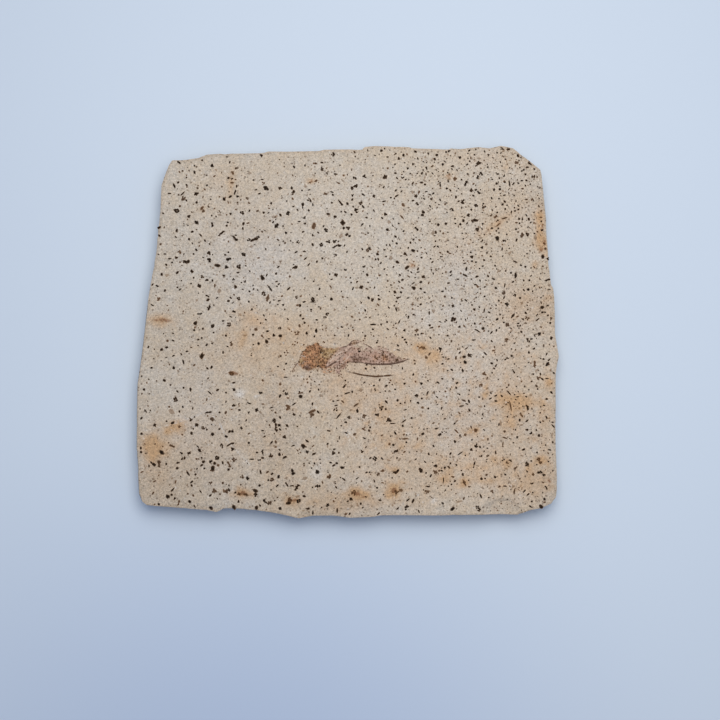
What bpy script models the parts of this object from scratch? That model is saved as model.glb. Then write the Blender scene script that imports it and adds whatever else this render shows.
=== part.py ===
"""A fossil grasshopper pressed in a broken slab of pale laminated limestone.

The slab lies flat on z = 0 with the insect in its upper face. Metres, +Z up,
+X along the insect from head to wing tips, +Y across the slab towards its
back edge. The origin is on the underside, in the middle of the slab.
"""

import bmesh
import bpy
import numpy as np

MM = 0.001

# ---- Driving dimensions -------------------------------------------------

SLAB_THICKNESS = 6.0 * MM

# The slab's widest bed seen from above, in millimetres, anticlockwise.
FRONT_EDGE = (
    (-45.4, -40.1), (-40.4, -40.4), (-31.7, -41.1), (-29.7, -41.6), (-28.1, -40.8),
    (-20.8, -41.0), (-17.6, -41.5), (-13.7, -42.3), (-11.3, -42.9), (-8.0, -42.3),
    (-3.3, -42.3), (0.3, -42.8), (5.8, -42.6), (7.2, -42.3), (18.9, -42.3),
    (34.3, -42.1), (38.2, -42.2), (41.0, -41.1), (43.6, -40.6), (45.9, -39.6),
)
RIGHT_EDGE = (
    (47.1, -38.1), (47.4, -35.8), (47.1, -22.8), (47.4, -9.6), (48.1, -6.1),
    (47.3, -1.1), (47.3, 6.0), (47.1, 9.3), (46.5, 10.4), (46.1, 16.6),
    (45.7, 21.9), (45.7, 25.7), (45.3, 29.0), (44.7, 35.9),
)
BACK_EDGE = (
    (44.4, 37.2), (41.2, 39.8), (38.8, 41.7), (38.0, 42.4), (35.2, 42.9),
    (32.6, 42.3), (30.0, 42.6), (26.4, 42.1), (23.7, 42.3), (23.1, 42.0),
    (14.7, 42.4), (14.1, 42.7), (6.0, 42.9), (3.7, 42.7), (3.1, 42.1),
    (-5.5, 42.0), (-6.8, 41.7), (-18.6, 41.5), (-19.8, 41.1), (-29.5, 40.9),
    (-32.7, 40.7), (-34.6, 40.0), (-38.5, 39.5), (-40.8, 39.5),
)
LEFT_EDGE = (
    (-41.6, 38.2), (-42.4, 36.0), (-43.2, 33.5), (-43.4, 27.8), (-44.1, 20.8),
    (-45.8, 7.5), (-46.6, 0.2), (-47.5, -7.8), (-48.1, -12.5), (-48.1, -27.4),
    (-47.4, -37.4), (-46.7, -39.1),
)

# The broken sides, bed by bed from the underside up: height as a share of the
# slab's thickness, how far the bed lies inside the widest one, and how much
# that wanders along the edge (mm).
BEDS = (
    (0.0, 1.25, 0.35),
    (0.09, 0.45, 0.30),
    (0.30, 0.25, 0.25),
    (0.51, 0.50, 0.35),
    (0.70, 0.20, 0.20),
    (0.88, 0.0, 0.0),
    (0.96, 0.15, 0.10),
    (1.0, 0.55, 0.25),
)
EDGE_STEP = 1.7 * MM  # longest straight step round the edge
NORMAL_REACH = 3  # steps to each side that a bed's inward direction is taken over
BREAK_WAVES = 36
BREAK_SEED = 4

# The insect, seen from above (mm): head, back, knee, shin, wings and legs.
GRASSHOPPER_OUTLINE = (
    (-11.9, -8.1), (-11.3, -7.3), (-11.2, -6.3), (-10.7, -5.0), (-9.8, -4.3),
    (-8.6, -3.5), (-7.1, -2.9), (-6.4, -3.5), (-5.6, -4.0), (-4.3, -4.0),
    (-3.0, -4.1), (-1.2, -3.9), (-0.2, -3.5), (0.6, -2.8), (1.4, -2.4),
    (2.3, -2.4), (3.5, -2.9), (5.0, -3.8), (7.0, -3.5), (8.4, -3.9),
    (10.3, -5.4), (11.9, -6.2), (13.6, -6.7), (12.0, -7.5), (9.8, -8.0),
    (6.6, -8.1), (2.9, -7.7), (0.4, -7.7), (-0.4, -8.6), (-1.4, -9.7),
    (-2.3, -10.5), (-3.5, -10.1), (-4.9, -10.4), (-6.6, -9.8), (-8.0, -9.5),
    (-9.4, -9.6), (-11.0, -8.8),
)
# The thin leg that came away and lies below the body (mm).
LOOSE_LEG_PATH = (
    (0.1, -9.6), (1.5, -10.0), (3.2, -10.4), (5.2, -10.6), (7.4, -10.6),
    (10.2, -10.4),
)
LOOSE_LEG_RADIUS = 0.2 * MM

REMAINS_THICKNESS = 0.65 * MM
REMAINS_PROUD = 0.35 * MM  # how far the insect stands above the slab's face
CLEARANCE = 0.3 * MM  # between the insect and the stone round it


# ---- Materials ----------------------------------------------------------

def principled(name, colour, roughness):
    """A plain Principled material."""
    material = bpy.data.materials.new(name)
    material.use_nodes = True
    shader = material.node_tree.nodes["Principled BSDF"]
    shader.inputs["Base Color"].default_value = (*colour, 1.0)
    shader.inputs["Roughness"].default_value = roughness
    shader.inputs["Metallic"].default_value = 0.0
    return material


# ---- Helpers ------------------------------------------------------------

def new_collection(name):
    collection = bpy.data.collections.new(name)
    bpy.context.scene.collection.children.link(collection)
    return collection


def hide_as_cutter(cutter):
    cutter.hide_render = True
    cutter.display_type = "WIRE"


def mesh_from_curve(curve_object, collection):
    """Turns a curve object into a welded mesh object of the same name and place."""
    graph = bpy.context.evaluated_depsgraph_get()
    mesh = bpy.data.meshes.new_from_object(curve_object.evaluated_get(graph))
    shell = bmesh.new()
    shell.from_mesh(mesh)
    bmesh.ops.remove_doubles(shell, verts=shell.verts, dist=0.001 * MM)
    bmesh.ops.recalc_face_normals(shell, faces=shell.faces)
    shell.to_mesh(mesh)
    shell.free()
    name = curve_object.name
    place = curve_object.matrix_world.copy()
    bpy.data.objects.remove(curve_object)
    solid = bpy.data.objects.new(name, mesh)
    solid.matrix_world = place
    collection.objects.link(solid)
    return solid


# ---- Slab ---------------------------------------------------------------

def slab_outline():
    """The widest bed's corners, with each straight span between them cut into even steps."""
    corners = np.array(FRONT_EDGE + RIGHT_EDGE + BACK_EDGE + LEFT_EDGE) * MM
    spans = []
    for start, end in zip(corners, np.roll(corners, -1, axis=0)):
        steps = int(np.ceil(np.linalg.norm(end - start) / EDGE_STEP))
        share = np.arange(steps)[:, None] / steps
        spans.append(start + share * (end - start))
    points = np.concatenate(spans)
    return points - (points.min(axis=0) + points.max(axis=0)) / 2.0


def outward_normals(points):
    """Unit normals in the plane, pointing out of an anticlockwise outline."""
    along = np.roll(points, -NORMAL_REACH, axis=0) - np.roll(points, NORMAL_REACH, axis=0)
    normals = np.stack([along[:, 1], -along[:, 0]], axis=1)
    return normals / np.linalg.norm(normals, axis=1, keepdims=True)


def wander(random, count):
    """A seeded uneven wave once round the edge, mostly between -1 and 1."""
    angle = np.linspace(0.0, 2.0 * np.pi, count, endpoint=False)
    wave = np.arange(3, BREAK_WAVES)
    size = random.normal(size=len(wave)) / np.sqrt(wave)
    phase = random.uniform(0.0, 2.0 * np.pi, len(wave))
    total = (size * np.cos(wave * angle[:, None] + phase)).sum(axis=1)
    return total / (2.0 * total.std())


def build_slab(collection, material):
    """A loft through the outlines of the beds, closed by a flat face below and above."""
    outline = slab_outline()
    count = len(outline)
    normals = outward_normals(outline)
    random = np.random.default_rng(BREAK_SEED)
    shell = bmesh.new()
    rings = []
    for share, inset, roughness in BEDS:
        height = share * SLAB_THICKNESS
        depth = np.maximum(inset + roughness * wander(random, count), 0.0) * MM
        bed = outline - normals * depth[:, None]
        rings.append([shell.verts.new((x, y, height)) for x, y in bed])
    for lower, upper in zip(rings, rings[1:]):
        for i in range(count):
            j = (i + 1) % count
            shell.faces.new((lower[i], lower[j], upper[j], upper[i]))
    shell.faces.new(rings[0][::-1])
    shell.faces.new(rings[-1])
    bmesh.ops.recalc_face_normals(shell, faces=shell.faces)
    mesh = bpy.data.meshes.new("limestone_slab")
    shell.to_mesh(mesh)
    shell.free()
    slab = bpy.data.objects.new("limestone_slab", mesh)
    slab.data.materials.append(material)
    collection.objects.link(slab)
    return slab


# ---- Insect -------------------------------------------------------------

def remains_plate(name, collection, growth):
    """The insect's outline as a flat plate, larger all round by growth."""
    curve = bpy.data.curves.new(name, "CURVE")
    curve.dimensions = "2D"
    curve.fill_mode = "BOTH"
    curve.resolution_u = 2
    curve.extrude = REMAINS_THICKNESS / 2.0
    curve.bevel_depth = growth
    curve.bevel_resolution = 0
    spline = curve.splines.new("BEZIER")
    spline.bezier_points.add(len(GRASSHOPPER_OUTLINE) - 1)
    for point, (x, y) in zip(spline.bezier_points, GRASSHOPPER_OUTLINE):
        point.co = (x * MM, y * MM, 0.0)
        point.handle_left_type = "AUTO"
        point.handle_right_type = "AUTO"
    spline.use_cyclic_u = True
    plate = bpy.data.objects.new(name, curve)
    plate.location.z = SLAB_THICKNESS + REMAINS_PROUD - REMAINS_THICKNESS / 2.0
    collection.objects.link(plate)
    bpy.context.view_layer.update()
    return mesh_from_curve(plate, collection)


def leg_rod(name, collection, radius):
    """A thin round rod along the loose leg's path, half sunk in the slab's face."""
    curve = bpy.data.curves.new(name, "CURVE")
    curve.dimensions = "3D"
    curve.resolution_u = 3
    curve.bevel_depth = radius
    curve.bevel_resolution = 2
    curve.use_fill_caps = True
    spline = curve.splines.new("BEZIER")
    spline.bezier_points.add(len(LOOSE_LEG_PATH) - 1)
    for point, (x, y) in zip(spline.bezier_points, LOOSE_LEG_PATH):
        point.co = (x * MM, y * MM, 0.0)
        point.handle_left_type = "AUTO"
        point.handle_right_type = "AUTO"
    rod = bpy.data.objects.new(name, curve)
    rod.location.z = SLAB_THICKNESS
    collection.objects.link(rod)
    bpy.context.view_layer.update()
    solid = mesh_from_curve(rod, collection)
    solid.data.shade_smooth()
    return solid


def cut(target, cutter):
    """Takes the cutter's shape out of the target."""
    hide_as_cutter(cutter)
    boolean = target.modifiers.new(cutter.name, "BOOLEAN")
    boolean.operation = "DIFFERENCE"
    boolean.solver = "EXACT"
    boolean.object = cutter


# ---- Assembly -----------------------------------------------------------

def main():
    for old in list(bpy.data.objects):
        bpy.data.objects.remove(old)
    parts = new_collection("fossil_grasshopper")
    cutters = new_collection("cutters")

    limestone = principled("limestone", (0.60, 0.50, 0.38), 0.9)
    iron_stain = principled("iron_stained_remains", (0.26, 0.13, 0.06), 0.75)
    dark_leg = principled("dark_remains", (0.10, 0.06, 0.04), 0.7)

    slab = build_slab(parts, limestone)
    grasshopper = remains_plate("grasshopper", parts, 0.0)
    grasshopper.data.materials.append(iron_stain)
    loose_leg = leg_rod("loose_leg", parts, LOOSE_LEG_RADIUS)
    loose_leg.data.materials.append(dark_leg)

    cut(slab, remains_plate("grasshopper_bed", cutters, CLEARANCE))
    cut(slab, leg_rod("loose_leg_bed", cutters, LOOSE_LEG_RADIUS + CLEARANCE))


main()
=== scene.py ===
"""The looks of a fossil grasshopper in a broken slab of thin-bedded limestone.

Arrays hold millimetres and meshes hold metres. The slab's upper face, the
film of the insect on it, its loose leg and the mineral grains all lie on one
surface, face_height(x, y), so each piece sits on the one below it.
"""

import math
from collections import namedtuple

import bpy
import numpy as np
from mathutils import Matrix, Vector


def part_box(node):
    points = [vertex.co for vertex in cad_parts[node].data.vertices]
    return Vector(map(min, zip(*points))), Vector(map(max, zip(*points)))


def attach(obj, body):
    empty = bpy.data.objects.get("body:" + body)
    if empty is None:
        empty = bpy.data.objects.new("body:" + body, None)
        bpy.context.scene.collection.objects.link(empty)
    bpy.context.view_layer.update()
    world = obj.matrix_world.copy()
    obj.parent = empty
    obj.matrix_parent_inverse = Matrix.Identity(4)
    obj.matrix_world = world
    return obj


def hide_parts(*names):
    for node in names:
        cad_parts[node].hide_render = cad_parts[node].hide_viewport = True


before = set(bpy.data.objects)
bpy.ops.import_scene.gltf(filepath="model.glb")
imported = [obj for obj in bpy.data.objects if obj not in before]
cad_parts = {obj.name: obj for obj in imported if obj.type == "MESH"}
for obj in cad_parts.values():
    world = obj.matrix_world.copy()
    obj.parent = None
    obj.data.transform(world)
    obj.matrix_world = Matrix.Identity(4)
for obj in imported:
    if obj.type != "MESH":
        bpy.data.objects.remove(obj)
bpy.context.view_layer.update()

bl_info = {
    "name": "Fossil grasshopper in limestone",
    "version": (1, 0, 0),
    "blender": (4, 5, 0),
    "location": "3D View > Sidebar > Fossil",
    "description": "Builds the stone, the insect and the mineral grains around the CAD frame",
    "category": "Object",
}

MM = 0.001
TAU = 2.0 * math.pi
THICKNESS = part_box("limestone_slab")[1].z / MM
INSECT_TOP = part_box("grasshopper")[1].z / MM
BODY = "root"

# ---- The view, and places read in it ----

VIEW_MIDDLE = (2.660, -6.966)  # the point of the face in the middle of the view, in mm
VIEW_DISTANCE = 300.0
VIEW_TILT = 5.0  # lean of the camera to the front, in degrees
VIEW_WIDTH = 163.8  # in mm, at that distance
VIEW_PIXELS = 720.0
PIXEL_MIDDLE = 0.5


def seen(rows):
    """Rows that start with a place in the view, in pixels across and down, with that place
    turned into mm on the face: the line of sight is followed down to the face."""
    tilt = math.radians(VIEW_TILT)
    turned = []
    for across, down, *rest in rows:
        right, low = ((k / VIEW_PIXELS - 0.5) * VIEW_WIDTH / VIEW_DISTANCE for k in (across, down))
        far = VIEW_DISTANCE * math.cos(tilt) / (math.cos(tilt) + low * math.sin(tilt))
        x = VIEW_MIDDLE[0] + far * right
        y = VIEW_MIDDLE[1] - VIEW_DISTANCE * math.sin(tilt) + far * (math.sin(tilt) - low * math.cos(tilt))
        turned.append((x, y, *rest))
    return tuple(turned)


def grains_seen(rows):
    """The same for grains, which are listed by the pixel they lie in: its middle is taken."""
    return seen((across + PIXEL_MIDDLE, down + PIXEL_MIDDLE, *rest) for across, down, *rest in rows)


# ---- Places on the slab's face (mm) ----

# Iron stains: x, y, half length, half width, turn in degrees, strength. The broad tint at the front left,
# at (-36, -31), is also painted shade, darker there where the light falls off.
OCHRE_AND_SHADE_TINTS = (
    (-27, 33.7, 4.3, 0.8, 84, 0.55), (-33.7, 27.9, 2, 1.2, 20, 0.45), (-8.6, 34.4, 1.4, 0.9, 0, 0.8),
    (-43, 2.2, 3.6, 1.8, 0, 1), (-22.4, 2.7, 3.6, 3, 0, 0.55), (-24.2, -2.6, 1.1, 1.6, 0, 0.5),
    (-43.5, -25, 4, 5.5, 0, 0.35), (-39.2, -22, 2.6, 1.4, 15, 0.9), (-44.6, -26.9, 2.5, 2.7, 0, 0.9),
    (31, 40, 9, 3, 0, 0.35), (23, 35.4, 1.3, 1, 0, 0.6), (12.2, 27.2, 1.6, 0.8, 80, 0.4),
    (14.9, 14.9, 1, 1, 0, 0.6), (34, 24.4, 4, 1.2, 36, 0.5), (44, 25.3, 3.4, 1.2, 88, 0.9),
    (44.6, 20, 2.2, 1.8, 90, 0.9), (42.7, 15.1, 1, 1, 0, 0.7), (36.3, 37.5, 1, 1, 0, 0.5),
    (16.8, -3.9, 1.3, 1.3, 0, 0.7), (19.5, -6.1, 1.8, 1.6, 0, 0.6), (38.8, -16.4, 4.3, 1.9, -5, 0.85),
    (45.6, -11.8, 2.1, 1.2, 90, 0.85), (36.6, -20.3, 1.7, 2.4, 0, 0.45), (29, -22.9, 0.9, 0.9, 0, 0.6),
    (10.6, -31.9, 1.2, 0.8, 0, 0.6), (10.4, -36.4, 1.8, 1.6, 0, 1), (2.4, -37.4, 2.2, 1.3, 0, 0.9),
    (21.3, -33.8, 1.5, 1.2, 0, 0.6), (26.1, -34.8, 1.5, 1.2, 0, 0.6), (43.2, -29.8, 1.4, 1.2, 0, 0.6),
    (35.9, -30.2, 1.4, 1.2, 0, 0.6), (-23.9, -37.1, 2.2, 1.4, 0, 0.9), (-12.5, -38.6, 2.2, 1.2, 0, 0.5),
    (0, -7, 22, 10, 0, 0.42), (-14, 0.5, 8, 4, -20, 0.3), (26, -26, 16, 9, 0, 0.14),
    (-30, -25, 12, 9, 0, 0.16), (38, 2, 7, 14, 0, 0.16), (-22, -4.5, 9, 6, 0, 0.3),
    (11, -31, 15, 9, 0, 0.42), (20, -6, 8, 7, 0, 0.26), (36, -10, 9, 12, 0, 0.3), (34, 27, 9, 8, 0, 0.25),
    (32, -33, 12, 7, 0, 0.3), (-36, -31, 16, 13, 0, 0.25), (8, -18, 12, 8, 0, 0.3),
    (23, -18, 12, 9, 0, 0.12), (37, -20, 10, 10, 0, 0.24), (36, -32, 9, 9, 0, 0.22),
    (12, -4, 12, 6, 0, 0.14), (41, 6.5, 6.5, 5.5, 0, 0.38), (45.5, 4, 1.8, 9, 0, 0.3),
    (44.8, -24, 2.2, 9, 0, 0.35), (43, -35.5, 5, 5, 0, 0.45), (41, 30, 5, 11, 0, 0.24),
    (24, 18, 6.5, 6, 0, 0.32), (13, 18, 2, 4, 0, 0.3), (-16, -24, 6.5, 12, 0, 0.32),
    (0, -15, 6.5, 8, 0, 0.2), (-1, -39.5, 13, 3, 0, 0.5), (1.5, 16, 3, 3, 0, 0.25),
    (-34, -5, 10, 6, 0, 0.14), (-29.5, 35, 3.6, 4.5, 0, 0.35), (-43, -34, 3.5, 5, 0, 0.3),
    (-3, -36.6, 8, 6, 0, 0.15), (10, -24.5, 4, 4, 0, 0.2), (26, -18, 4, 4, 0, 0.15), (36, 3, 5, 7, 0, 0.2),
)
RUST_SPOTS = (
    (-26.6, -9.9, 0.9, 0.5, 10, 0.9), (-25.4, -10.1, 0.7, 0.5, -10, 0.9), (-43.2, 2.3, 2.2, 0.7, 0, 0.6),
    (-41, 2, 0.9, 0.4, 0, 0.7), (14.7, 14.7, 0.8, 0.7, 0, 0.7), (33.7, 26.2, 1, 0.6, 30, 0.7),
    (31.9, 22.7, 1.4, 0.4, 38, 0.6), (35.6, 25.2, 1.5, 0.3, 38, 0.6), (44.6, 24, 0.9, 0.4, 90, 0.8),
    (44.9, 20.2, 1.2, 0.6, 80, 0.8), (44.2, 18.4, 0.8, 0.5, 60, 0.8), (43.2, 15, 0.8, 0.5, 90, 0.6),
    (16.8, -4.2, 0.9, 0.5, 0, 0.7), (29, -22.9, 0.7, 0.6, 0, 0.8), (11, -25.1, 1.5, 0.4, 80, 0.6),
    (10.4, -36.4, 0.8, 0.7, 0, 1.1), (2, -37.2, 1, 0.6, 0, 1), (3.6, -38, 0.7, 0.5, 0, 0.7),
    (-23.9, -37.1, 1.1, 0.6, 10, 1), (-13.1, -38.6, 0.7, 0.5, 0, 0.8), (-11.4, -38.7, 0.7, 0.5, 0, 0.8),
    (33.2, -4.7, 0.5, 0.5, 0, 0.6), (35.9, -2.3, 0.5, 0.5, 0, 0.6), (-8.6, 34.4, 0.6, 0.4, 0, 0.7),
    (45.4, -34.2, 1.4, 0.5, 90, 0.7), (23, 35.6, 0.8, 0.4, 0, 0.6),
)
# Pale marks of bruised and scratched stone: x, y, half length, half width, turn in degrees, strength. The
# last three, small and strong, along the upper edge of the insect's head and body, are painted highlights.
CHALK_AND_HIGHLIGHT_MARKS = (
    (-24.6, -14.8, 1.4, 1.1, 0, 0.8), (-20.9, -15.3, 1, 0.5, 30, 0.6), (-7.1, -32.4, 2.3, 3.2, 0, 0.55),
    (19.3, -38.7, 1, 0.8, 0, 0.6), (22.4, -15.2, 0.9, 2.7, 0, 0.4), (13.6, -23.7, 1, 0.6, 0, 0.5),
    (-28.3, 20.7, 2.3, 2, 0, 0.45), (-2, 22, 9, 12, 0, 0.22), (-11.2, -5, 0.3, 0.2, 60, 1.2),
    (-6.2, -3.7, 0.35, 0.2, -30, 1), (-3.1, -3.5, 0.3, 0.2, 0, 0.9),
)
# Cool grey areas, and areas that are duller or, with a strength below 0, brighter. Of the latter, the two
# broad ones along the left and at the front left are painted shade, darker where the light falls off; the
# small ones darken or lighten the stone in patches.
COOL_AREAS = (
    (-21, 17, 9.5, 11.5, 0, 0.9), (25, 8, 6.5, 10, 0, 0.7), (15, 4.5, 3, 6, 0, 0.6),
    (-33, -17, 5.5, 11, 0, 0.8), (-31.5, -22.5, 5, 5, 0, 0.5), (25, -17, 9, 13, 0, 0.5),
)
DULL_AND_SHADE_AREAS = (
    (-46, 0, 20, 46, 0, 0.06), (-34, -38, 24, 14, 0, 0.08), (-1.5, -39.5, 8, 4, 0, 0.09),
    (-36, -20, 9, 8, 0, -0.05), (43.5, 32, 3, 9, 0, 0.06), (42.5, 6, 5, 5.5, 0, 0.07),
    (-15.5, -22, 5, 11, 0, 0.09), (45.5, -35, 2.5, 5, 0, 0.08), (22, -7, 12, 8, 0, -0.04),
    (12, 4, 9, 5, 0, -0.05), (28, -30, 6, 5.5, 0, -0.04), (-18, 4, 5.5, 6.5, 0, -0.04),
)
# Pale scratches: width, strength, then their bent lines.
SCRATCHES = (
    (0.16, 0.8, ((-29.1, -21.5), (-27.2, -25.6), (-22, -31))),
    (0.13, 0.6, ((-46.2, -23.1), (-39, -21.3), (-31.7, -18.6))),
    (0.14, 0.9, ((-0.8, -23.1), (0.4, -25.3))), (0.13, 0.8, ((-0.3, -23.1), (1.6, -24.9))),
    (0.22, 0.6, ((-38.4, 37.4), (-35.3, 34.2))), (0.12, 0.5, ((36.3, -33.6), (36.4, -36.6))),
)
SCRATCH_DEPTH = 0.05
# Spalls in the rim: x, y, half width, half depth, how deep.
SPALLS = (
    (34.5, -42.3, 4.2, 4, 1), (-31.3, -41.6, 3, 1.8, 0.5), (41.2, 40.4, 2.2, 0.9, 0.35),
    (9, -42.4, 2.5, 0.8, 0.4), (-9.5, -42.6, 3, 0.9, 0.4),
)

# ---- The bolder mineral grains, by their pixels in the view ----

# Single grains, ragged clusters of them, and long ones: pixels across and down. Long ones go
# on with their turn in degrees and, where it isn't SHORT_BAR, their length in mm.
SHORT_BAR = 0.9
LUMPS_AT = grains_seen((
    (158.6, 227), (158.9, 235.1), (165.8, 264.3), (176.9, 272), (191.4, 270.9), (206.4, 279.5),
    (156.6, 285.5), (176.9, 286.8), (179.5, 288.9), (211.8, 279.9), (225.8, 266.6), (252.6, 284.9),
    (234.9, 286.4), (244.5, 281), (260.7, 154.8), (267.8, 212.3), (263.2, 212), (347, 203), (285.5, 232.3),
    (346.2, 234), (349, 235.5), (312.2, 244), (265.3, 248.5), (331.5, 191.5), (332.3, 194.3),
    (293.5, 166.3), (342.2, 222.3), (395, 153.3), (403, 154.5), (415, 151), (436.3, 154.3), (398.3, 158),
    (392.3, 167), (407.3, 167.7), (435, 202), (446.5, 211.7), (385, 213.7), (351, 214), (369.3, 225.5),
    (396, 228.5), (395, 236), (400, 247.5), (412.5, 250), (445.5, 223), (373.5, 195.5), (422.7, 211.5),
    (422, 214.5), (355.5, 209), (356, 211.5), (448.5, 150.5), (496.7, 152), (517, 155), (528.5, 162.3),
    (452, 165.5), (451.5, 168.5), (491.3, 197.5), (470.8, 209), (514.5, 210.3), (454.5, 218), (462.8, 220),
    (518, 182.5), (459.8, 223.5), (175.8, 257), (164.3, 290), (223.3, 275), (207.5, 299.3), (233.5, 311),
    (248.3, 301), (172.5, 340), (206.2, 344.3), (197.8, 339), (198.8, 285.3), (161.2, 273.7),
    (194.8, 322.7), (346.5, 251.3), (275.5, 273), (262, 277.3), (304.3, 277.8), (319, 288.3),
    (282.7, 304.3), (304, 322.3), (273.3, 334.7), (279.8, 335.3), (315.7, 330), (341.3, 326.5),
    (306.2, 332.8), (362.7, 256.7), (366.8, 274.3), (350.7, 282), (360.8, 286.5), (389, 291),
    (394.3, 291.5), (402, 279.3), (406.5, 259), (406.5, 267), (421, 257), (413.2, 287.5), (400.5, 291.7),
    (378.5, 298.7), (417.5, 305.8), (387.2, 328.5), (404, 329.7), (404.3, 339), (380.2, 262.5),
    (430, 258.2), (166.3, 346.8), (172.8, 355.3), (201.4, 355.5), (206.8, 367.8), (163.8, 380), (190, 389),
    (217, 389.5), (233.5, 389), (182.2, 406.3), (178.8, 411), (219, 412), (192.7, 428.3), (212, 433.8),
    (211, 366.7), (148.7, 393.3), (239, 409.5), (256.2, 409.4), (279.5, 417), (275.3, 424.3),
    (278.8, 424.7), (242.9, 223.1), (227.3, 221.8), (226.2, 225.1), (459.8, 223.5), (465.9, 268.2),
    (466.6, 222.7), (461.9, 232.7), (481.6, 246.8), (486.5, 252.1), (490.3, 255.7), (494.6, 265),
    (471.5, 256.2), (475.5, 261.5), (450.5, 274.7), (493, 278.3), (313.4, 453.4), (338.4, 452.3),
    (340, 477.1), (303.7, 495.7), (167.3, 496), (216.7, 498.2), (196.4, 468.3), (427.5, 380.2),
    (437.5, 382), (417.5, 402.3), (400, 403), (411, 417.5), (422.3, 433.3), (471.5, 439.2), (454.5, 441),
    (468.8, 389.6), (478.8, 396.5), (468.5, 400.7), (433, 445.5), (483.2, 446.3), (470.8, 449.1),
    (450, 453), (435, 465.3), (425.6, 472.4), (412.5, 500.4), (442.2, 502.8), (452, 508.5), (526.7, 253),
    (520.5, 264.5), (525, 266), (530.5, 275.2), (527.8, 289), (495.5, 287.3), (543, 295.3), (498.5, 300),
    (496.8, 318.7), (525.3, 312.3), (514.2, 342.5), (533.6, 348), (495.5, 365), (553.3, 372.5),
    (546.3, 398.5), (543.5, 404.8), (526.6, 429.1), (535.9, 429.3), (523, 449), (552.2, 454), (526.7, 471),
    (504.8, 474), (343.6, 386), (351.7, 391.3), (356.8, 410.3), (385.3, 408.5), (345.2, 421.8),
    (452.5, 305.4), (474, 308.8), (459, 326.2), (430, 337.2), (451.3, 369.2), (462.2, 370), (491.2, 362.7),
    (394.7, 388.8), (191, 432.8), (206.3, 429), (229, 431), (231.8, 431), (225.7, 436), (140.2, 447.5),
    (140.5, 451.5), (161, 451.7), (162.2, 451.8), (181, 452.7), (188.5, 452.5), (181.5, 458.3),
    (184, 457.5), (199, 450), (203, 461.2), (209.5, 461.2), (210.8, 460.6), (222.2, 462.2), (212.2, 467.8),
    (195, 474), (177.3, 462.3), (153.4, 464), (165.7, 463.5), (191, 485), (174.2, 498), (189, 501),
    (158.2, 503.7), (210, 506.6), (228.5, 489.5), (232, 448.5), (228, 469), (233.3, 506.6), (248.3, 412),
    (245.7, 419.8), (241, 427.5), (279.5, 429), (286.5, 425), (293.5, 414), (306.5, 440.5), (256.5, 452),
    (262, 457.5), (279, 454), (314, 463), (271.5, 473.3), (278, 476.2), (317, 471.5), (247, 477.7),
    (259, 485), (238, 501.2), (307.5, 508), (279.5, 508), (256, 507.2), (193.8, 165.2), (211.5, 165),
    (194, 171.8), (228, 177.3), (231.6, 178.2), (236, 185.7), (237, 195.8), (223.6, 198.6), (173.7, 185.2),
    (186, 184.5), (195.4, 193.4), (197, 192.6), (188.3, 215.8), (211, 215), (230, 213.2), (249, 210.2),
    (211.5, 222.8), (211.9, 225), (176.2, 230), (191.6, 231.2), (235.2, 234.6), (188.6, 238.6),
    (191.7, 242.7),
))
BROWN_LUMPS_AT = grains_seen((
    (257, 210.3), (309.5, 181.8), (315.5, 180.3), (431.8, 165.5), (351, 169.5), (454.5, 178), (289.3, 276),
    (342.2, 296.3), (255.3, 328.8), (413.3, 261), (286.3, 409), (201.4, 207.5), (202.8, 210.6),
    (224.4, 197.5), (248.5, 202.4), (322, 482), (385.7, 385.5), (537, 231), (544, 243), (545, 248),
    (502.5, 443), (502.5, 446), (542.7, 482), (518, 475.3), (444.4, 296), (327.8, 476.4), (382.1, 482.3),
    (406.8, 471), (487.5, 438.7), (425.7, 357),
))
CLUSTERS_AT = grains_seen((
    (257.6, 236.4), (253.9, 238.9), (248.3, 239.5), (228.3, 258.5), (208.9, 259.5), (332.5, 153.8),
    (321.8, 167.7), (326.7, 172.2), (302.2, 205), (275.6, 225), (347.5, 227.5), (266, 187.5),
    (279.5, 187.3), (291.5, 187.3), (287.8, 213), (320.7, 244.3), (327.7, 241), (334.5, 246),
    (297.5, 241.5), (363.8, 175.5), (354.5, 177.5), (384.8, 176.5), (351.5, 187.7), (355, 185.5),
    (362.8, 194), (352, 194.7), (360.5, 202.5), (421.3, 172.5), (459.5, 157), (478, 163), (480.8, 173.2),
    (465.5, 182.5), (471, 189.5), (478, 191.5), (493.7, 189.2), (476, 205), (451.5, 208.8), (468, 214.5),
    (462.2, 200.8), (533, 175.5), (513, 183), (497.2, 182.8), (185.5, 261.2), (201.5, 276.5),
    (238.5, 265.8), (233, 278.5), (208.3, 307.3), (198.8, 313.3), (237.8, 298.3), (228.5, 324),
    (212, 325.5), (207, 295.5), (334.8, 254.5), (294.5, 267), (344.8, 269.3), (335.8, 274.5), (263.2, 293),
    (312.5, 299), (327, 313), (324.5, 316.3), (279.3, 328), (363.3, 266.3), (371.8, 299.7), (423, 276.4),
    (190.8, 419), (196, 424.3), (202.3, 427.7), (154.3, 424.5), (144.5, 410.3), (233, 405), (208, 411.8),
    (175, 399), (260.3, 392.3), (283.5, 436.5), (275.3, 428.7), (196.1, 222), (220.6, 232.9),
    (208.6, 251.9), (241.4, 212), (476.5, 229), (303.8, 446.5), (306.7, 451), (332.8, 453), (317.2, 485.6),
    (327.4, 504.5), (416.5, 395), (407.3, 499.6), (478.5, 509), (476.5, 506.8), (540.3, 505.6),
    (527.2, 233.7), (504, 240), (515.3, 275.5), (546.8, 279.5), (514.3, 294.5), (506.8, 303.3),
    (512.3, 315.3), (518.5, 324.2), (551, 337.3), (527.7, 340), (538.8, 333.3), (526.8, 463.5),
    (523.8, 490.7), (543.5, 474.5), (335.4, 409), (377, 414.3), (452.7, 318.7), (420, 469.8), (547, 258.3),
    (216.5, 457.2), (273.5, 420), (262, 451), (270.5, 455), (258.8, 459.5), (284, 457), (292, 471),
    (286.3, 484), (254.7, 494), (264.5, 501), (298, 500.5), (178.3, 161.8), (234.5, 191.8), (176.7, 210.3),
    (234.2, 237.4), (243, 253.7),
))
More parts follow.
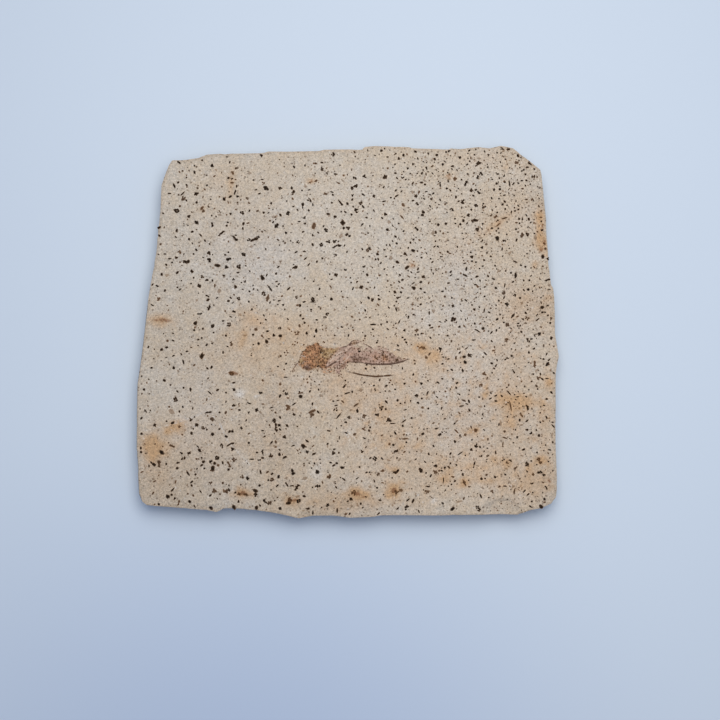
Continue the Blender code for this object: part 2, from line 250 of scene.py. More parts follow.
BROWN_CLUSTERS_AT = grains_seen((
    (262.8, 182.8), (338, 182.5), (313.5, 225), (402.8, 204), (495.3, 216), (158, 298), (262, 336),
    (296.3, 332.7), (231, 373), (212, 419.3), (179, 426), (287.5, 406.5), (246.5, 197.5), (378, 474),
    (328.6, 476.4), (396.3, 491.5), (353.5, 492.2), (238.6, 493.6), (245.3, 494), (475.5, 429.5),
    (480.3, 385), (464.3, 483), (487.3, 454.8), (435, 471.5), (521.8, 234.5), (503.3, 292), (527, 317.7),
    (507, 324.3), (505.8, 339.5), (534.3, 364), (536, 385.5), (504.3, 430.8), (506.5, 462), (538.2, 458.7),
    (540, 462), (515.3, 467.3), (533, 474), (494, 350.5), (484, 373), (423.3, 347.5), (364, 416),
    (311.7, 410.8), (363.3, 428.5), (486.3, 474.5), (311.3, 415), (171.5, 445.5), (158.5, 463.8),
    (178, 502.5), (226, 490.7), (223.5, 490.5), (213.5, 490.5), (210, 482.5), (228.5, 464), (233.5, 459),
    (271, 479), (241.5, 476), (269, 502.3), (289, 499), (236.5, 167.5), (232.3, 172.2), (183, 197.5),
))
BARS_AT = grains_seen((
    (261.7, 178.8, 0), (321.3, 162, 0), (308.7, 189.2, 10), (297, 209.3, -55), (344.8, 211.3, -45),
    (298.7, 221, 0), (272.6, 221.5, 50), (323, 225.7, 55), (302.5, 231.2, 25), (317.8, 232, -40),
    (277.5, 239.3, -35), (344, 245, 60), (312.3, 204, 90), (354, 151.5, -55), (374.3, 154.7, -15),
    (427.8, 153, -65), (417.3, 158, -75), (444.5, 161, -35), (412.5, 163.5, 90), (396.5, 177.5, -40),
    (432, 172.7, -50), (383.2, 186.5, 60), (395.3, 189.8, 40), (401, 190.8, 45), (425.8, 191, 5),
    (432.8, 192.8, 50), (439.6, 199.2, -60), (412.5, 200, 15), (429.5, 205.5, -55), (373.5, 210, -50),
    (366, 217, -10), (381.7, 217.5, -45), (410, 242, -80), (389.3, 244.5, -70), (434, 246, 40),
    (437.5, 246, -40), (361.8, 248.5, -60), (466.8, 163.8, 45), (503.7, 175.3, 60), (521.5, 180, 0),
    (449.8, 189.8, -60), (475.5, 189.2, 30), (473, 195, -30), (503.8, 194.5, 25), (491.8, 209.3, -65),
    (518, 208.7, 35), (517.8, 205, -50), (526, 214.5, -65), (522, 218.5, 85), (538.5, 205.5, -60),
    (152, 284, 60), (216.5, 297.3, 35), (232.5, 302, 35), (230.2, 316.2, -20), (295.5, 251.5, 30),
    (277.8, 266.3, 35), (331.3, 278.7, 15), (276, 281, 5), (269.5, 302, 70), (278.5, 300.3, 0),
    (263.3, 314.8, -50), (287.3, 318.5, -45), (300, 314.8, 55), (302.5, 318.2, 15), (267, 330.7, 0),
    (268.5, 338.3, -10), (374, 287, 65), (410.8, 271.7, -45), (417.7, 271.5, 15), (413, 282.5, 30),
    (426, 252.7, -55), (431.8, 261.5, 45), (445.3, 288, -70), (442, 290.7, 0), (448, 282.5, 10),
    (407.5, 297.4, 20), (388.3, 307, -50), (180.7, 353.7, -50), (186.5, 350.8, 15), (207.5, 377.7, 40),
    (176.8, 390.8, -50), (232.5, 443, 25), (192.2, 407.7, 80), (262, 430.2, 0), (436.5, 396.5, -40),
    (495.5, 400.5, -10), (466.5, 403.5, -20), (415.2, 458.8, 45), (501.3, 395.5, -45), (519.2, 419.5, 90),
    (546.2, 353.5, 60), (540, 373.5, 90), (523.5, 289.5, -40), (309.3, 390.8, 55), (439.6, 321.2, -20),
    (488.7, 311.7, -20), (442, 363.3, 5), (459.3, 352, 50), (491.2, 340.5, -60), (327.1, 443.4, 50),
    (365.4, 446.6, 25, 0.7), (369.8, 457.5, 35), (335.7, 486.9, -60), (373.8, 480.5, -70),
    (349.1, 513.3, 50), (237.4, 272, 0, 1), (255.5, 189.1, 25), (258.9, 193, 20), (396.3, 195.2, 35, 1.4),
    (509, 182.5, -80, 1.8), (303.8, 250.9, 0, 1.1), (304.8, 258, 40, 1.1), (308.3, 264, 55, 1.1),
    (288.3, 288, 45, 1.4), (303.7, 301.3, 10, 1.1), (312.5, 301.4, 0, 1.6), (428.8, 312.5, 90, 1.1),
    (398.8, 321, 60, 1.4), (372.5, 323.9, 0, 1.8), (182.7, 361.3, -75, 1.4), (209.3, 392.3, -45, 1.6),
    (343.3, 478.7, -40, 1.4), (427, 392.8, 70, 1.4), (436, 428, 10, 1.1), (495.5, 395, 30, 1.1),
    (490, 398, 30, 1.1), (461, 405.5, 10, 1.4), (403.5, 420.5, 35, 1.6), (424.6, 461.3, -50, 1.1),
    (474, 463, 70, 1.4), (495.3, 452, 90, 1.1), (430.3, 475.3, 60, 1.1), (443, 479.5, 90, 1.4),
    (427.3, 486, -5, 1.4), (480.3, 495.5, -65, 1.4), (459.5, 453, 35, 1.8), (418.3, 511, -60, 1.1),
    (501.7, 248.5, 80, 1.1), (514.8, 261, -25, 1.4), (504.3, 284.7, 75, 1.4), (537.2, 319, 40, 1.4),
    (546.7, 378, -5, 1.1), (508.5, 392.3, -50, 1.6), (517.2, 396.3, 10, 1.1), (526.5, 420.3, 35, 1.1),
    (552.7, 425.5, -50, 1.4), (548.6, 359.3, 45, 1.1), (346.5, 392.7, 15, 1.8), (335.5, 405, 10, 1.1),
    (317.7, 411.5, -50, 1.1), (338.2, 415.3, 50, 2), (385.8, 401.3, -45, 1.1), (392, 423, 0, 1.6),
    (328.3, 430.3, -15, 1.1), (394.8, 432.5, -60, 1.1), (483.8, 310, 80, 1.4), (477.2, 330.2, -30, 2),
    (491, 332, 50, 1.1), (473.2, 339.5, 0, 1.1), (466, 347.7, 35, 1.1), (484.7, 353, -45, 1.4),
    (338.9, 437.4, 80, 1.1), (363.8, 437.7, -25, 1.1), (356.8, 477.8, 35, 1.1), (336.7, 509.8, 85, 1.4),
    (378.1, 513, 40, 1.1), (397.3, 507.9, 40, 1.1), (312.4, 512.1, 85, 1.1), (381.6, 458.1, -50, 1.1),
    (313.4, 453.4, 30, 1.4), (328.7, 476.7, -70, 1.1), (348, 334.8, 75), (397.4, 344.8, -40),
    (397.8, 349.3, -17, 1.1), (402, 367.7, 80, 0.8), (363.8, 382, 40), (285, 376.7, 0, 1.2),
    (197.3, 446.2, -45, 1), (191, 481.5, 45, 1.1), (172, 489.3, 45, 1.5), (200, 491, -55, 1),
    (209.8, 494.8, 30, 1), (194, 505.8, -60, 1), (229, 444, 30, 2.2), (248.7, 402.8, -20, 1.2),
    (271, 407, 25, 1.1), (293.5, 403.5, 30, 1.4), (264, 436, 25, 1.1), (271, 442, 50, 1.1),
    (292.5, 445.2, 15, 1.1), (251.3, 458.7, 0, 1.4), (260, 471.5, -75, 1.3), (276.7, 485.3, 45, 1.2),
    (291.3, 485.3, 10, 1.2), (169, 192.9, 0, 1), (182, 193, 45, 1.6), (200, 234.5, -40, 1.2),
    (195.8, 249.3, -45, 1.1), (169, 258.2, 5, 1.2), (521, 157.3, -38, 1), (529.5, 163, -40, 1.4),
))
BROWN_BARS_AT = grains_seen((
    (425.5, 173.5, -80), (401.5, 216.5, -50, 1.6), (419, 239.5, -45), (403, 205, -35), (526, 198.8, 5),
    (522, 188, 0), (540.5, 216.7, 0), (504, 217.5, 20, 1.8), (498, 224, 40, 1.8), (428.3, 282.3, 70),
    (401.8, 287.3, -45), (206.2, 399, 85), (287.5, 397.5, -10), (404.5, 438.3, 5, 1.6),
    (417, 438.5, 80, 1.1), (433, 422.5, 30), (456, 430.8, -45, 1.6), (463.5, 400, -20, 1.4),
    (404, 451.3, 30), (452.5, 476.3, -10, 1.1), (463.3, 498, 70), (510, 405, -80, 2.7),
    (504.5, 437.3, -20, 1.4), (513.8, 491.3, 85, 1.6), (533.8, 266.5, -50, 1.1), (516, 222, 0),
    (525, 322.5, 0), (499, 486, 30), (337.2, 400, 15), (342, 401, -35, 1.1), (355.5, 404.5, 35, 1.8),
    (422, 333, 15), (479.7, 323, 35), (429, 353.5, 55, 1.1), (451, 340.5, 80), (175, 481.3, 75, 1.1),
    (154, 480.8, 20, 1), (152.5, 492.5, 50, 1), (192.7, 495, -70), (262.5, 403.5, 0), (248.5, 433, 30),
    (312.5, 445.5, 40), (213.7, 175.7, 35, 1), (231.5, 182, 0, 1.2), (247.5, 222.5, 15, 1),
))
SMALL_AT = grains_seen((
    (181.7, 434), (144.2, 443.5), (167.3, 456.3), (196, 458.5), (198, 458.5), (210, 470), (197, 477.5),
    (180, 476), (187, 493.3), (154, 503.7), (222.2, 482.5), (232, 468), (271, 409.8), (275, 412),
    (269, 424.7), (285.5, 428.3), (296.8, 426), (292.3, 409.5), (275.3, 441.5), (298.8, 448.8), (297, 450),
    (298, 453), (300, 452), (282, 454), (303.5, 463), (303.5, 465), (267, 471.5), (240.3, 484.2),
    (277, 497), (187, 167), (196, 166.2), (188.5, 170), (182, 170.3), (179, 171.3), (206.2, 174.6),
    (221, 172), (235, 179), (240.3, 199.2), (237, 202), (186.3, 186.4), (197.5, 185), (197, 187.4),
    (204, 188.7), (178, 194.2), (208, 206), (213.8, 208), (187, 218.8), (191.3, 211.5), (226, 214.2),
    (235.5, 209), (196, 229), (163.8, 226.7), (181.7, 235), (227.9, 241), (198.5, 241.8),
))
# Grains on the insect and close round it: place in the view in pixels, half width in mm.
BLACK_BY_INSECT = grains_seen((
    (313.9, 335.8, 0.24), (402, 336.8, 0.24), (405.8, 341.8, 0.27), (285.6, 363.2, 0.27),
    (365.3, 368, 0.27), (366.2, 364.2, 0.25), (373.8, 367.3, 0.24), (412.8, 374, 0.28),
    (379.2, 379.4, 0.28), (404, 383, 0.29), (421, 383, 0.33), (373.4, 385, 0.24), (385.7, 385.2, 0.3),
    (421, 333, 0.25), (372.4, 328.8, 0.27), (376.4, 341.9, 0.27), (377.3, 339.9, 0.17), (309, 376, 0.22),
    (345, 380, 0.22), (358.9, 350.9, 0.3), (347.2, 361.7, 0.22), (320.3, 351.7, 0.25),
    (317.5, 365.5, 0.26), (415, 334.2, 0.22), (417.5, 334, 0.24),
))
BROWN_BY_INSECT = grains_seen((
    (334.2, 334.8, 0.22), (337.3, 327.6, 0.2), (303.2, 344.2, 0.2), (323.1, 341.3, 0.2),
    (324.1, 342, 0.16), (322.2, 329, 0.22), (325.6, 327.6, 0.22), (325.6, 330.2, 0.16), (283.6, 369, 0.24),
    (284, 352, 0.22), (287.2, 352.3, 0.2), (285.6, 354.6, 0.2), (286.2, 350.2, 0.18), (294.2, 344.2, 0.2),
    (292.2, 343.8, 0.2), (296.8, 342.2, 0.22), (294.6, 341, 0.18), (297, 375.4, 0.16), (306.4, 378.6, 0.2),
    (307.2, 381.8, 0.25), (303.3, 378.6, 0.18), (314.2, 381, 0.2), (311.2, 379.4, 0.17),
    (318.7, 384, 0.19), (328.7, 371.3, 0.17), (341.6, 377, 0.17), (345.2, 384, 0.18), (343.8, 385.2, 0.18),
    (289, 329, 0.18), (291, 330.8, 0.16), (362.2, 332, 0.18), (370.3, 332, 0.17), (364.8, 335.4, 0.27),
    (364.4, 338, 0.18), (373.2, 335.5, 0.2), (395, 333.6, 0.17), (396, 335.4, 0.17), (395.6, 332.6, 0.15),
    (385.8, 337.2, 0.17), (411, 344, 0.18), (407, 344, 0.14), (413.8, 359.8, 0.21), (414.5, 363, 0.24),
    (390, 379.8, 0.24), (388.8, 382, 0.22), (415, 381, 0.24), (391.7, 384, 0.19), (403.4, 379, 0.17),
    (368.8, 384, 0.16), (419.4, 347.2, 0.22), (417.6, 345.9, 0.24), (421, 346.4, 0.25),
    (395.8, 327.8, 0.18), (392.6, 327, 0.17), (363, 340, 0.19), (310.6, 385, 0.16), (300.8, 384.6, 0.16),
    (310.3, 345.8, 0.16), (313.2, 344.3, 0.15), (317.2, 342.9, 0.19), (307.6, 347.2, 0.18),
    (305.6, 349.2, 0.17), (302.3, 351, 0.19), (300.7, 353.7, 0.16), (303.6, 353.2, 0.14),
    (299.8, 357, 0.17), (298.9, 361.5, 0.19), (310.1, 359, 0.16), (313.7, 358.8, 0.15), (321, 349, 0.2),
    (318.6, 347.6, 0.17), (314.8, 348.1, 0.15), (311.7, 349.2, 0.15), (318.8, 354.5, 0.18),
    (314.3, 356.1, 0.14), (319.3, 358.8, 0.18), (322.2, 359.2, 0.15), (317.7, 360.6, 0.17),
    (320.1, 361.5, 0.19), (323.7, 362.8, 0.16), (326, 362.8, 0.15), (315.2, 365.3, 0.18),
    (324.6, 366.6, 0.17), (321.7, 368.8, 0.18), (317.2, 370.4, 0.17), (303, 367.5, 0.18),
    (306.5, 368.6, 0.27), (310.3, 371.7, 0.2), (294.5, 363.9, 0.17), (292.5, 371.3, 0.17),
    (330.6, 356.8, 0.15), (334.7, 355.2, 0.16), (332.2, 353.9, 0.13), (341.3, 353.2, 0.18),
    (344.9, 352.5, 0.19), (326.6, 347.6, 0.15), (330, 367.3, 0.16), (334.4, 367.5, 0.18),
    (339.3, 365, 0.17), (337.1, 367.3, 0.16), (339.8, 370.4, 0.16), (345.4, 367.3, 0.17),
    (346.9, 365.3, 0.16), (333.5, 370.4, 0.17), (329.5, 371.7, 0.14), (333.5, 372.6, 0.15),
    (338.4, 375.1, 0.21), (340.7, 374, 0.17), (323.5, 374.4, 0.18), (370.2, 351.6, 0.18),
    (382.9, 352.1, 0.2), (382.5, 354.8, 0.22), (376, 357.9, 0.24), (386.9, 356.5, 0.18),
    (385.6, 359.2, 0.17), (388.5, 360.6, 0.16), (368.2, 355.2, 0.14), (363.5, 350.7, 0.14),
    (354, 358.8, 0.17), (355, 361.9, 0.18), (397, 358.8, 0.22), (396.1, 359.7, 0.2), (403.3, 358.3, 0.18),
    (407, 358.6, 0.13), (357.1, 348.8, 0.13),
))

# ---- The insect ----

# Outlines and lines read in the view are in its pixels, inside seen(), and the rest in mm.

SILHOUETTE = seen((
    (295.6, 365.2), (298.5, 361.5), (299.2, 357), (301.4, 351.6), (305, 348.3), (310.3, 344.8),
    (314, 343.2), (317.7, 342.4), (320, 344.8), (322.5, 347.2), (326, 347), (329.5, 347), (333, 348),
    (338, 346.8), (343, 346.5), (347, 345.2), (350, 343.4), (351.6, 341.2), (354.6, 339.8), (358, 339.9),
    (360.5, 341.2), (364.5, 342.8), (368.8, 345.6), (373.3, 347.4), (379, 345), (385, 346.6), (389, 350),
    (393.5, 353.4), (399.6, 356.6), (404, 357.6), (408.2, 358.9), (406, 360.8), (401, 362.5),
    (396.5, 363.5), (391.2, 364.7), (382, 365), (373, 365.1), (367, 364.2), (361, 363.2), (354, 362.8),
    (348.5, 363.2), (347, 366), (345.3, 368.8), (342, 371.5), (341.8, 374.2), (338.5, 375.8),
    (335.5, 374.2), (333, 373), (329.5, 374.4), (326.8, 375.4), (323.3, 374.4), (319.5, 372.4),
    (315.5, 370.6), (312.3, 370.4), (310.5, 372.3), (306.5, 371.4), (302.5, 369), (298.5, 367),
))
FEELER = seen((
    (297.2, 363.3), (295.8, 365.2), (294, 368), (292.4, 370.9),
))
THIGH_UPPER = seen((
    (326.8, 363.5), (327.8, 360.4), (331, 356.8), (335.5, 353), (341, 349.6), (346, 346.4), (350.5, 343.6),
))
THIGH_LOWER = seen((
    (325.6, 367.6), (328, 367.2), (331, 365), (334.8, 362.4), (338.6, 359.4), (342, 356), (345.4, 352.6),
    (349, 349.4), (352, 347),
))
SHIN = seen((
    (361, 341.4), (364.5, 343.6), (368.8, 346.3), (373.3, 349.2),
))
BARE_PATCH = (
    (1.45, -3.78), (2.7, -2.9), (3.55, -3.4), (4.4, -4), (3.6, -4.12), (2.4, -3.95), (1.7, -4),
)
WING_EDGE = (
    (-0.1, -7.55), (1.5, -7.4), (2.8, -7.5), (4, -7.72), (5.3, -7.92), (7, -7.95), (8.52, -7.93),
    (9.66, -7.9),
)
WING_TIP_EDGE = ((10.10, -7.76), (11.40, -7.58), (12.50, -7.22), (13.50, -6.80))
LOOSE_LEG = seen((
    (344.2, 370.3), (348.8, 371.7), (355, 373.3), (362.6, 374.9), (368, 375.6), (374.6, 376.3),
    (381.3, 376.1), (389.8, 375.3), (395.2, 375.2),
))
# Patches of the film: x, y, half length, half width, turn in degrees, strength.
LOOSE_PATCH = ((1.4, -2.7, 1.1, 0.7, 15, 2.4),)
IRON_PATCHES = (
    (-1.8, -8.5, 0.8, 0.7, 0, 0.7), (8.2, -6.5, 1.4, 0.8, -8, 0.5), (7.4, -5.8, 1.6, 1, 0, 0.2),
    (-5.2, -9.6, 1.2, 0.7, 0, 0.6), (1.4, -2.8, 0.9, 0.6, 20, 0.6), (-8.6, -4.9, 1.4, 0.9, 15, 0.35),
    (-0.8, -7.6, 1.2, 1.6, 0, 0.1), (-9.3, -8.8, 1.4, 0.9, -35, -0.9),
)
GOLD_PATCHES = (
    (-4.9, -5.4, 1.7, 1.7, 60, 1), (-10.7, -7.4, 0.7, 1, 20, 1), (-3.4, -4.7, 1.8, 0.7, 10, 0.6),
    (-6.8, -7.6, 1.3, 0.8, 0, 0.5), (-9, -5.4, 0.9, 0.6, 0, 0.5), (-8, -8.9, 1, 0.6, 0, 0.4),
    (1.4, -2.9, 1, 0.6, 20, 0.6),
)
CRUMB_PATCHES = (
    (-6.4, -4.6, 0.5, 1.2, 10, 0.3), (-6, -8.4, 1.6, 0.8, 0, 0.3), (8.2, -6.3, 1.6, 1, -8, 0.2),
    (-1.4, -8.4, 1.3, 1.1, 20, 0.6), (1.4, -7, 1.3, 0.6, 0, 0.5), (3.6, -6.7, 1.6, 0.7, 0, 0.4),
    (11, -6.7, 1.3, 0.5, 10, 0.4), (-8.7, -8.9, 1.3, 0.8, -30, 0.2), (-8.2, -3.9, 1.8, 0.5, 18, 0.12),
    (1.4, -2.8, 0.9, 0.6, 20, 0.4),
)
DARK_PATCHES = (
    (-9.2, -8.7, 1.3, 0.85, -35, 0.62), (-9.6, -8.9, 0.5, 0.4, 0, 0.35), (-6.5, -4.5, 0.3, 0.7, 8, 0.5),
    (11.2, -7.1, 1, 0.35, 10, 0.6), (2.2, -6.5, 1.5, 0.4, -5, 0.32), (-6.6, -8.5, 0.8, 0.6, 0, 0.4),
    (-2.2, -10.2, 0.5, 0.3, 20, 0.6), (3.6, -6.6, 1.3, 0.5, 0, 0.1), (0.6, -6.3, 0.9, 0.45, 0, 0.3),
    (-10.9, -8, 0.5, 0.3, 0, 0.5),
)
# Lines in the film: half width, strength, then their bent lines.
DARK_LINES = (
    (0.15, 0.38, THIGH_UPPER), (0.13, 0.55, THIGH_LOWER[2:]),
    (0.2, 1.25, ((-5.1, -8.6), (-4.5, -8.35), (-3.9, -8), (-2.9, -7.4))),
    (0.12, 0.35, ((-3.7, -9), (-2.6, -7.7), (-1.7, -6.7), (-0.7, -5.8))),
    (0.13, 0.4, ((-3.2, -5.1), (-1.6, -4.2), (0.4, -3.3))), (0.1, 0.7, ((-2.4, -5.75), (-1.9, -5.5))),
    (0.1, 0.8, ((-1.2, -5.35), (-0.7, -5.1))),
    (0.22, 1.4, ((0.35, -3.65), (0.45, -2.95), (0.9, -2.5), (1.5, -2.35), (2.3, -2.45))), (0.12, 1, SHIN),
    (0.15, 0.8, ((-10.6, -5.3), (-11.05, -6.1), (-11.3, -7.3))), (0.19, 1.9, WING_EDGE[3:]),
    (0.15, 0.75, WING_EDGE[:4]), (0.19, 1.5, WING_TIP_EDGE[:3]), (0.12, 0.7, WING_TIP_EDGE[2:]),
    (0.13, 0.9, FEELER), (0.2, 0.4, ((0.4, -6.3), (1.7, -6.1), (3.3, -6.4))),
    (0.17, 0.8, ((0.9, -6.85), (2.2, -7))), (0.15, 0.7, ((1.3, -7.3), (2, -7.65))),
    (0.11, 0.6, ((6.1, -3.7), (7.4, -3.9), (8.3, -4.3), (9.3, -4.7))),
    (0.11, 0.6, ((6.4, -4.5), (7.7, -4.8), (9.1, -5.3), (10.4, -5.8))),
    (0.12, 0.5, ((5.4, -5), (6.8, -5.4), (8.1, -6))),
    (0.12, 0.45, ((9.6, -6.3), (11, -6.6), (12.2, -6.7))), (0.15, 1.2, ((7.95, -5), (7.75, -5.9))),
    (0.15, 1.2, ((6, -6.3), (6.3, -6.65), (6.9, -6.3))), (0.14, 1.2, ((8.6, -6.5), (9, -5.95))),
    (0.12, 0.8, ((4.9, -4.7), (5.1, -5.4))), (0.18, 0.32, ((-2, -4.4), (-1, -3.9), (0.1, -3.7))),
)
LIGHT_LINES = (
    (0.13, 0.9, ((1.3, -3.7), (2.6, -3.1))), (0.11, 0.7, ((6.4, -4.2), (7.9, -4.5), (8.9, -4.9))),
    (0.11, 0.7, ((6.8, -5.1), (8.3, -5.5), (9.9, -6.2))), (0.1, 0.6, ((9.4, -5.4), (10.6, -6.1))),
    (0.14, 0.7, ((-4.5, -9.1), (-3.3, -8), (-2.2, -6.9), (-1.2, -5.9))),
    (0.11, 0.9, ((-3.4, -9.6), (-1.8, -8.1), (0.1, -6.2))), (0.12, 0.5, ((6.2, -7.6), (8.6, -7.6))),
    (0.16, 1.1, ((-11, -5.7), (-10.4, -6), (-9.9, -6.2))), (0.15, 0.9, ((-5.6, -4.05), (-5.1, -4.1))),
    (0.1, 0.7, ((-4.1, -7.3), (-3, -6.1), (-1.6, -5.1))),
)


# ---- Shapes and noise ----

def ease(low, high, value):
    """0 below low, 1 above high, and 3t^2 - 2t^3 between."""
    t = np.clip((value - low) / (high - low), 0.0, 1.0)
    return t * t * (3.0 - 2.0 * t)


def lattice_noise(x, y, cell, seed):
    """Value noise from -1 to 1: seeded values on a square lattice of 64 by 64 that repeats,
    eased between the four round each point."""
    table = np.random.default_rng(seed).uniform(-1.0, 1.0, (64, 64))
    u, v = np.asarray(x) / cell + 0.5, np.asarray(y) / cell + 0.5
    i, j = np.floor(u).astype(int), np.floor(v).astype(int)
    s, t = ease(0.0, 1.0, u - i), ease(0.0, 1.0, v - j)
    i, j, k, m = i % 64, j % 64, (i + 1) % 64, (j + 1) % 64
    near = table[i, j] * (1.0 - s) + table[k, j] * s
    far = table[i, m] * (1.0 - s) + table[k, m] * s
    return near * (1.0 - t) + far * t


def layered_noise(x, y, cell, layers, seed):
    """Lattice noises summed, each with half the cell and half the size of the last."""
    total = 0.0
    for layer in range(layers):
        share = 0.5 ** layer
        total = total + share * lattice_noise(x, y, cell * share, seed + layer)
    return total


def distance_to(x, y, path):
    """Distance to a bent line: the least distance to its straight spans."""
    x, y = np.asarray(x, float), np.asarray(y, float)
    nearest = np.full(x.shape, np.inf)
    for (ax, ay), (bx, by) in zip(path, path[1:]):
        dx, dy = bx - ax, by - ay
        t = np.clip(((x - ax) * dx + (y - ay) * dy) / (dx * dx + dy * dy), 0.0, 1.0)
        nearest = np.minimum(nearest, np.hypot(x - ax - t * dx, y - ay - t * dy))
    return nearest


def depth_inside(x, y, outline):
    """Distance to a closed outline, positive inside it and negative outside."""
    closed = tuple(outline) + (outline[0],)
    inside = np.zeros(np.shape(x), bool)
    for (ax, ay), (bx, by) in zip(closed, closed[1:]):
        if ay != by:
            crossing = ax + (y - ay) * (bx - ax) / (by - ay)
            inside ^= ((ay > y) != (by > y)) & (x < crossing)
    return np.where(inside, 1.0, -1.0) * distance_to(x, y, closed)


def blots(x, y, marks, ragged=0.35, seed=50):
    """Sum of ellipses that fall off as exp(-d^2), with d made uneven by noise."""
    waver = 1.0 + ragged * layered_noise(x, y, 1.6, 3, seed)
    total = np.zeros(np.shape(x))
    for mx, my, long, wide, turn, strength in marks:
        c, s = math.cos(math.radians(turn)), math.sin(math.radians(turn))
        along = ((x - mx) * c + (y - my) * s) / long
        across = ((y - my) * c - (x - mx) * s) / wide
        total += strength * np.exp(-(along ** 2 + across ** 2) * waver)
    return total


def strokes(x, y, lines):
    """Sum of soft lines that fall off from their paths as exp(-(distance / width)^2)."""
    total = np.zeros(np.shape(x))
    for width, strength, path in lines:
        total += strength * np.exp(-(distance_to(x, y, path) / width) ** 2)
    return total


# ---- Property groups ----

def length(name, description, default):
    return bpy.props.FloatProperty(name=name, description=description, default=default,
                                   min=0.0, precision=5, unit="LENGTH")


def number(name, description, default):
    return bpy.props.IntProperty(name=name, description=description, default=default, min=0)


def colour(name, description, default):
    return bpy.props.FloatVectorProperty(name=name, description=description,
                                         default=default, subtype="COLOR", min=0.0, max=1.0)


class SlabSettings(bpy.types.PropertyGroup):
    """Sizes and colours of the stone."""
    swell: length("Swell", "Slow rise and fall of the split face", 0.07 * MM)
    grit: length("Grit", "Fine unevenness of the split face", 0.012 * MM)
    chipping: length("Chipping", "How far chips reach in from the rim", 0.22 * MM)
    ledge: length("Ledge", "How far one thin bed stands past the next", 0.20 * MM)
    laminae: number("Laminae", "Thin beds in the broken side", 10)
    cream: colour("Cream", "Main colour of the stone", (0.564, 0.452, 0.328))
    grey: colour("Grey", "Paler, greyer patches", (0.584, 0.505, 0.408))
    ochre: colour("Ochre", "Iron tint", (0.545, 0.340, 0.178))
    rust: colour("Rust", "Strong iron spots", (0.230, 0.095, 0.035))
    # This colour also paints the highlights along the upper edge of the insect's head and body.
    chalk_and_highlight: colour("Chalk", "Bruised and scratched stone", (0.72, 0.66, 0.58))
    broken: colour("Broken stone", "Fresh stone of the sides", (0.415, 0.292, 0.182))


class RemainsSettings(bpy.types.PropertyGroup):
    """Sizes and colours of the insect."""
    relief: length("Relief", "How far the insect stands above the stone", 0.12 * MM)
    grid: length("Grid", "Width of the film's mesh squares", 0.08 * MM)
    orange: colour("Orange", "Iron film of head and body", (0.600, 0.302, 0.150))
    gold: colour("Gold", "Lighter iron film", (0.520, 0.335, 0.160))
    mauve: colour("Mauve", "Film of thigh and wings", (0.498, 0.328, 0.243))
    pale: colour("Pale", "Thin film on the thigh and between veins", (0.640, 0.492, 0.372))
    crumb: colour("Crumb", "Small brown crumbs in the film", (0.098, 0.042, 0.017))
    dark: colour("Dark", "Veins, edges and spots", (0.088, 0.044, 0.028))
    limb: colour("Limb", "The loose leg", (0.115, 0.062, 0.034))
    leg_width: length("Leg width", "Width of the loose leg", 0.36 * MM)


class GrainSettings(bpy.types.PropertyGroup):
    """Numbers and colours of the mineral grains."""
    dots: number("Dots", "Small random grains on the face", 1560)
    clusters: number("Clusters", "Random clusters of grains on the face", 70)
    bars: number("Bars", "Random long grains on the face", 130)
    ghosts: number("Ghosts", "Grains just under the face", 500)
    side_dots: number("Side dots", "Grains in the broken side", 520)
    black: colour("Black", "Manganese grains", (0.013, 0.006, 0.002))
    brown: colour("Brown", "Rims of the black grains", (0.135, 0.060, 0.020))
    iron: colour("Iron", "Iron-rich grains", (0.066, 0.027, 0.009))
    tan: colour("Tan", "Rims of the iron-rich grains", (0.235, 0.118, 0.050))


class StageSettings(bpy.types.PropertyGroup):
    """Camera, floor and light."""
    distance: length("Distance", "Camera to the middle of the view", VIEW_DISTANCE * MM)
    tilt: bpy.props.FloatProperty(name="Tilt", description="Lean of the camera to the front",
                                  default=math.radians(VIEW_TILT), unit="ROTATION")
    view_width: length("View width", "Width of the view at that distance", VIEW_WIDTH * MM)
    floor: colour("Floor", "Pale floor", (0.670, 0.737, 0.805))
    # The next colour is a painted shadow: the floor is darker and bluer in a soft patch at its front,
    # where less light falls.
    painted_shade_floor: colour("Near floor", "The floor in front, where it is duller", (0.520, 0.600, 0.730))
    lamp: colour("Lamp", "Colour of the lamps", (1.0, 0.980, 0.925))
    sky: colour("Sky", "Colour of the light from all round", (0.212, 0.266, 0.388))


# ---- Meshes ----

def new_piece(name, material, points, faces, corners, values=None, smooth=True):
    """A mesh object from points in mm, faces as index arrays, one UV per face corner and
    named values per point."""
    mesh = bpy.data.meshes.new(name)
    lists = [face for group in faces for face in group.tolist()]
    mesh.from_pydata((points * MM).tolist(), [], lists)
    layer = mesh.uv_layers.new(name="OFBake")
    layer.uv.foreach_set("vector", np.concatenate(
        [np.asarray(group, np.float32).reshape(-1) for group in corners]))
    for key, value in (values or {}).items():
        attribute = mesh.attributes.new(key, "FLOAT", "POINT")
        attribute.data.foreach_set("value", np.asarray(value, np.float32))
    mesh.materials.append(material)
    mesh.polygons.foreach_set("use_smooth", np.broadcast_to(smooth, len(lists)).astype(bool))
    mesh.update()
    piece = bpy.data.objects.new(name, mesh)
    bpy.context.scene.collection.objects.link(piece)
    return piece


def join_on(piece, slot, *nodes):
    """The piece rides on the one body and stands for these CAD nodes, which it hides. Its slot is not
    used.
    """
    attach(piece, BODY)
    if nodes:
        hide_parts(*nodes)


def column(items, name, size, kind=float):
    """One property of all items, as an array with a row for each."""
    values = np.empty(len(items) * size, kind)
    items.foreach_get(name, values)
    return values.reshape(-1, size)


def cad_triangles(node):
    """The node's triangles as an array of corners in mm."""
    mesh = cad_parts[node].data
    mesh.calc_loop_triangles()
    return column(mesh.vertices, "co", 3)[column(mesh.loop_triangles, "vertices", 3, int)] / MM


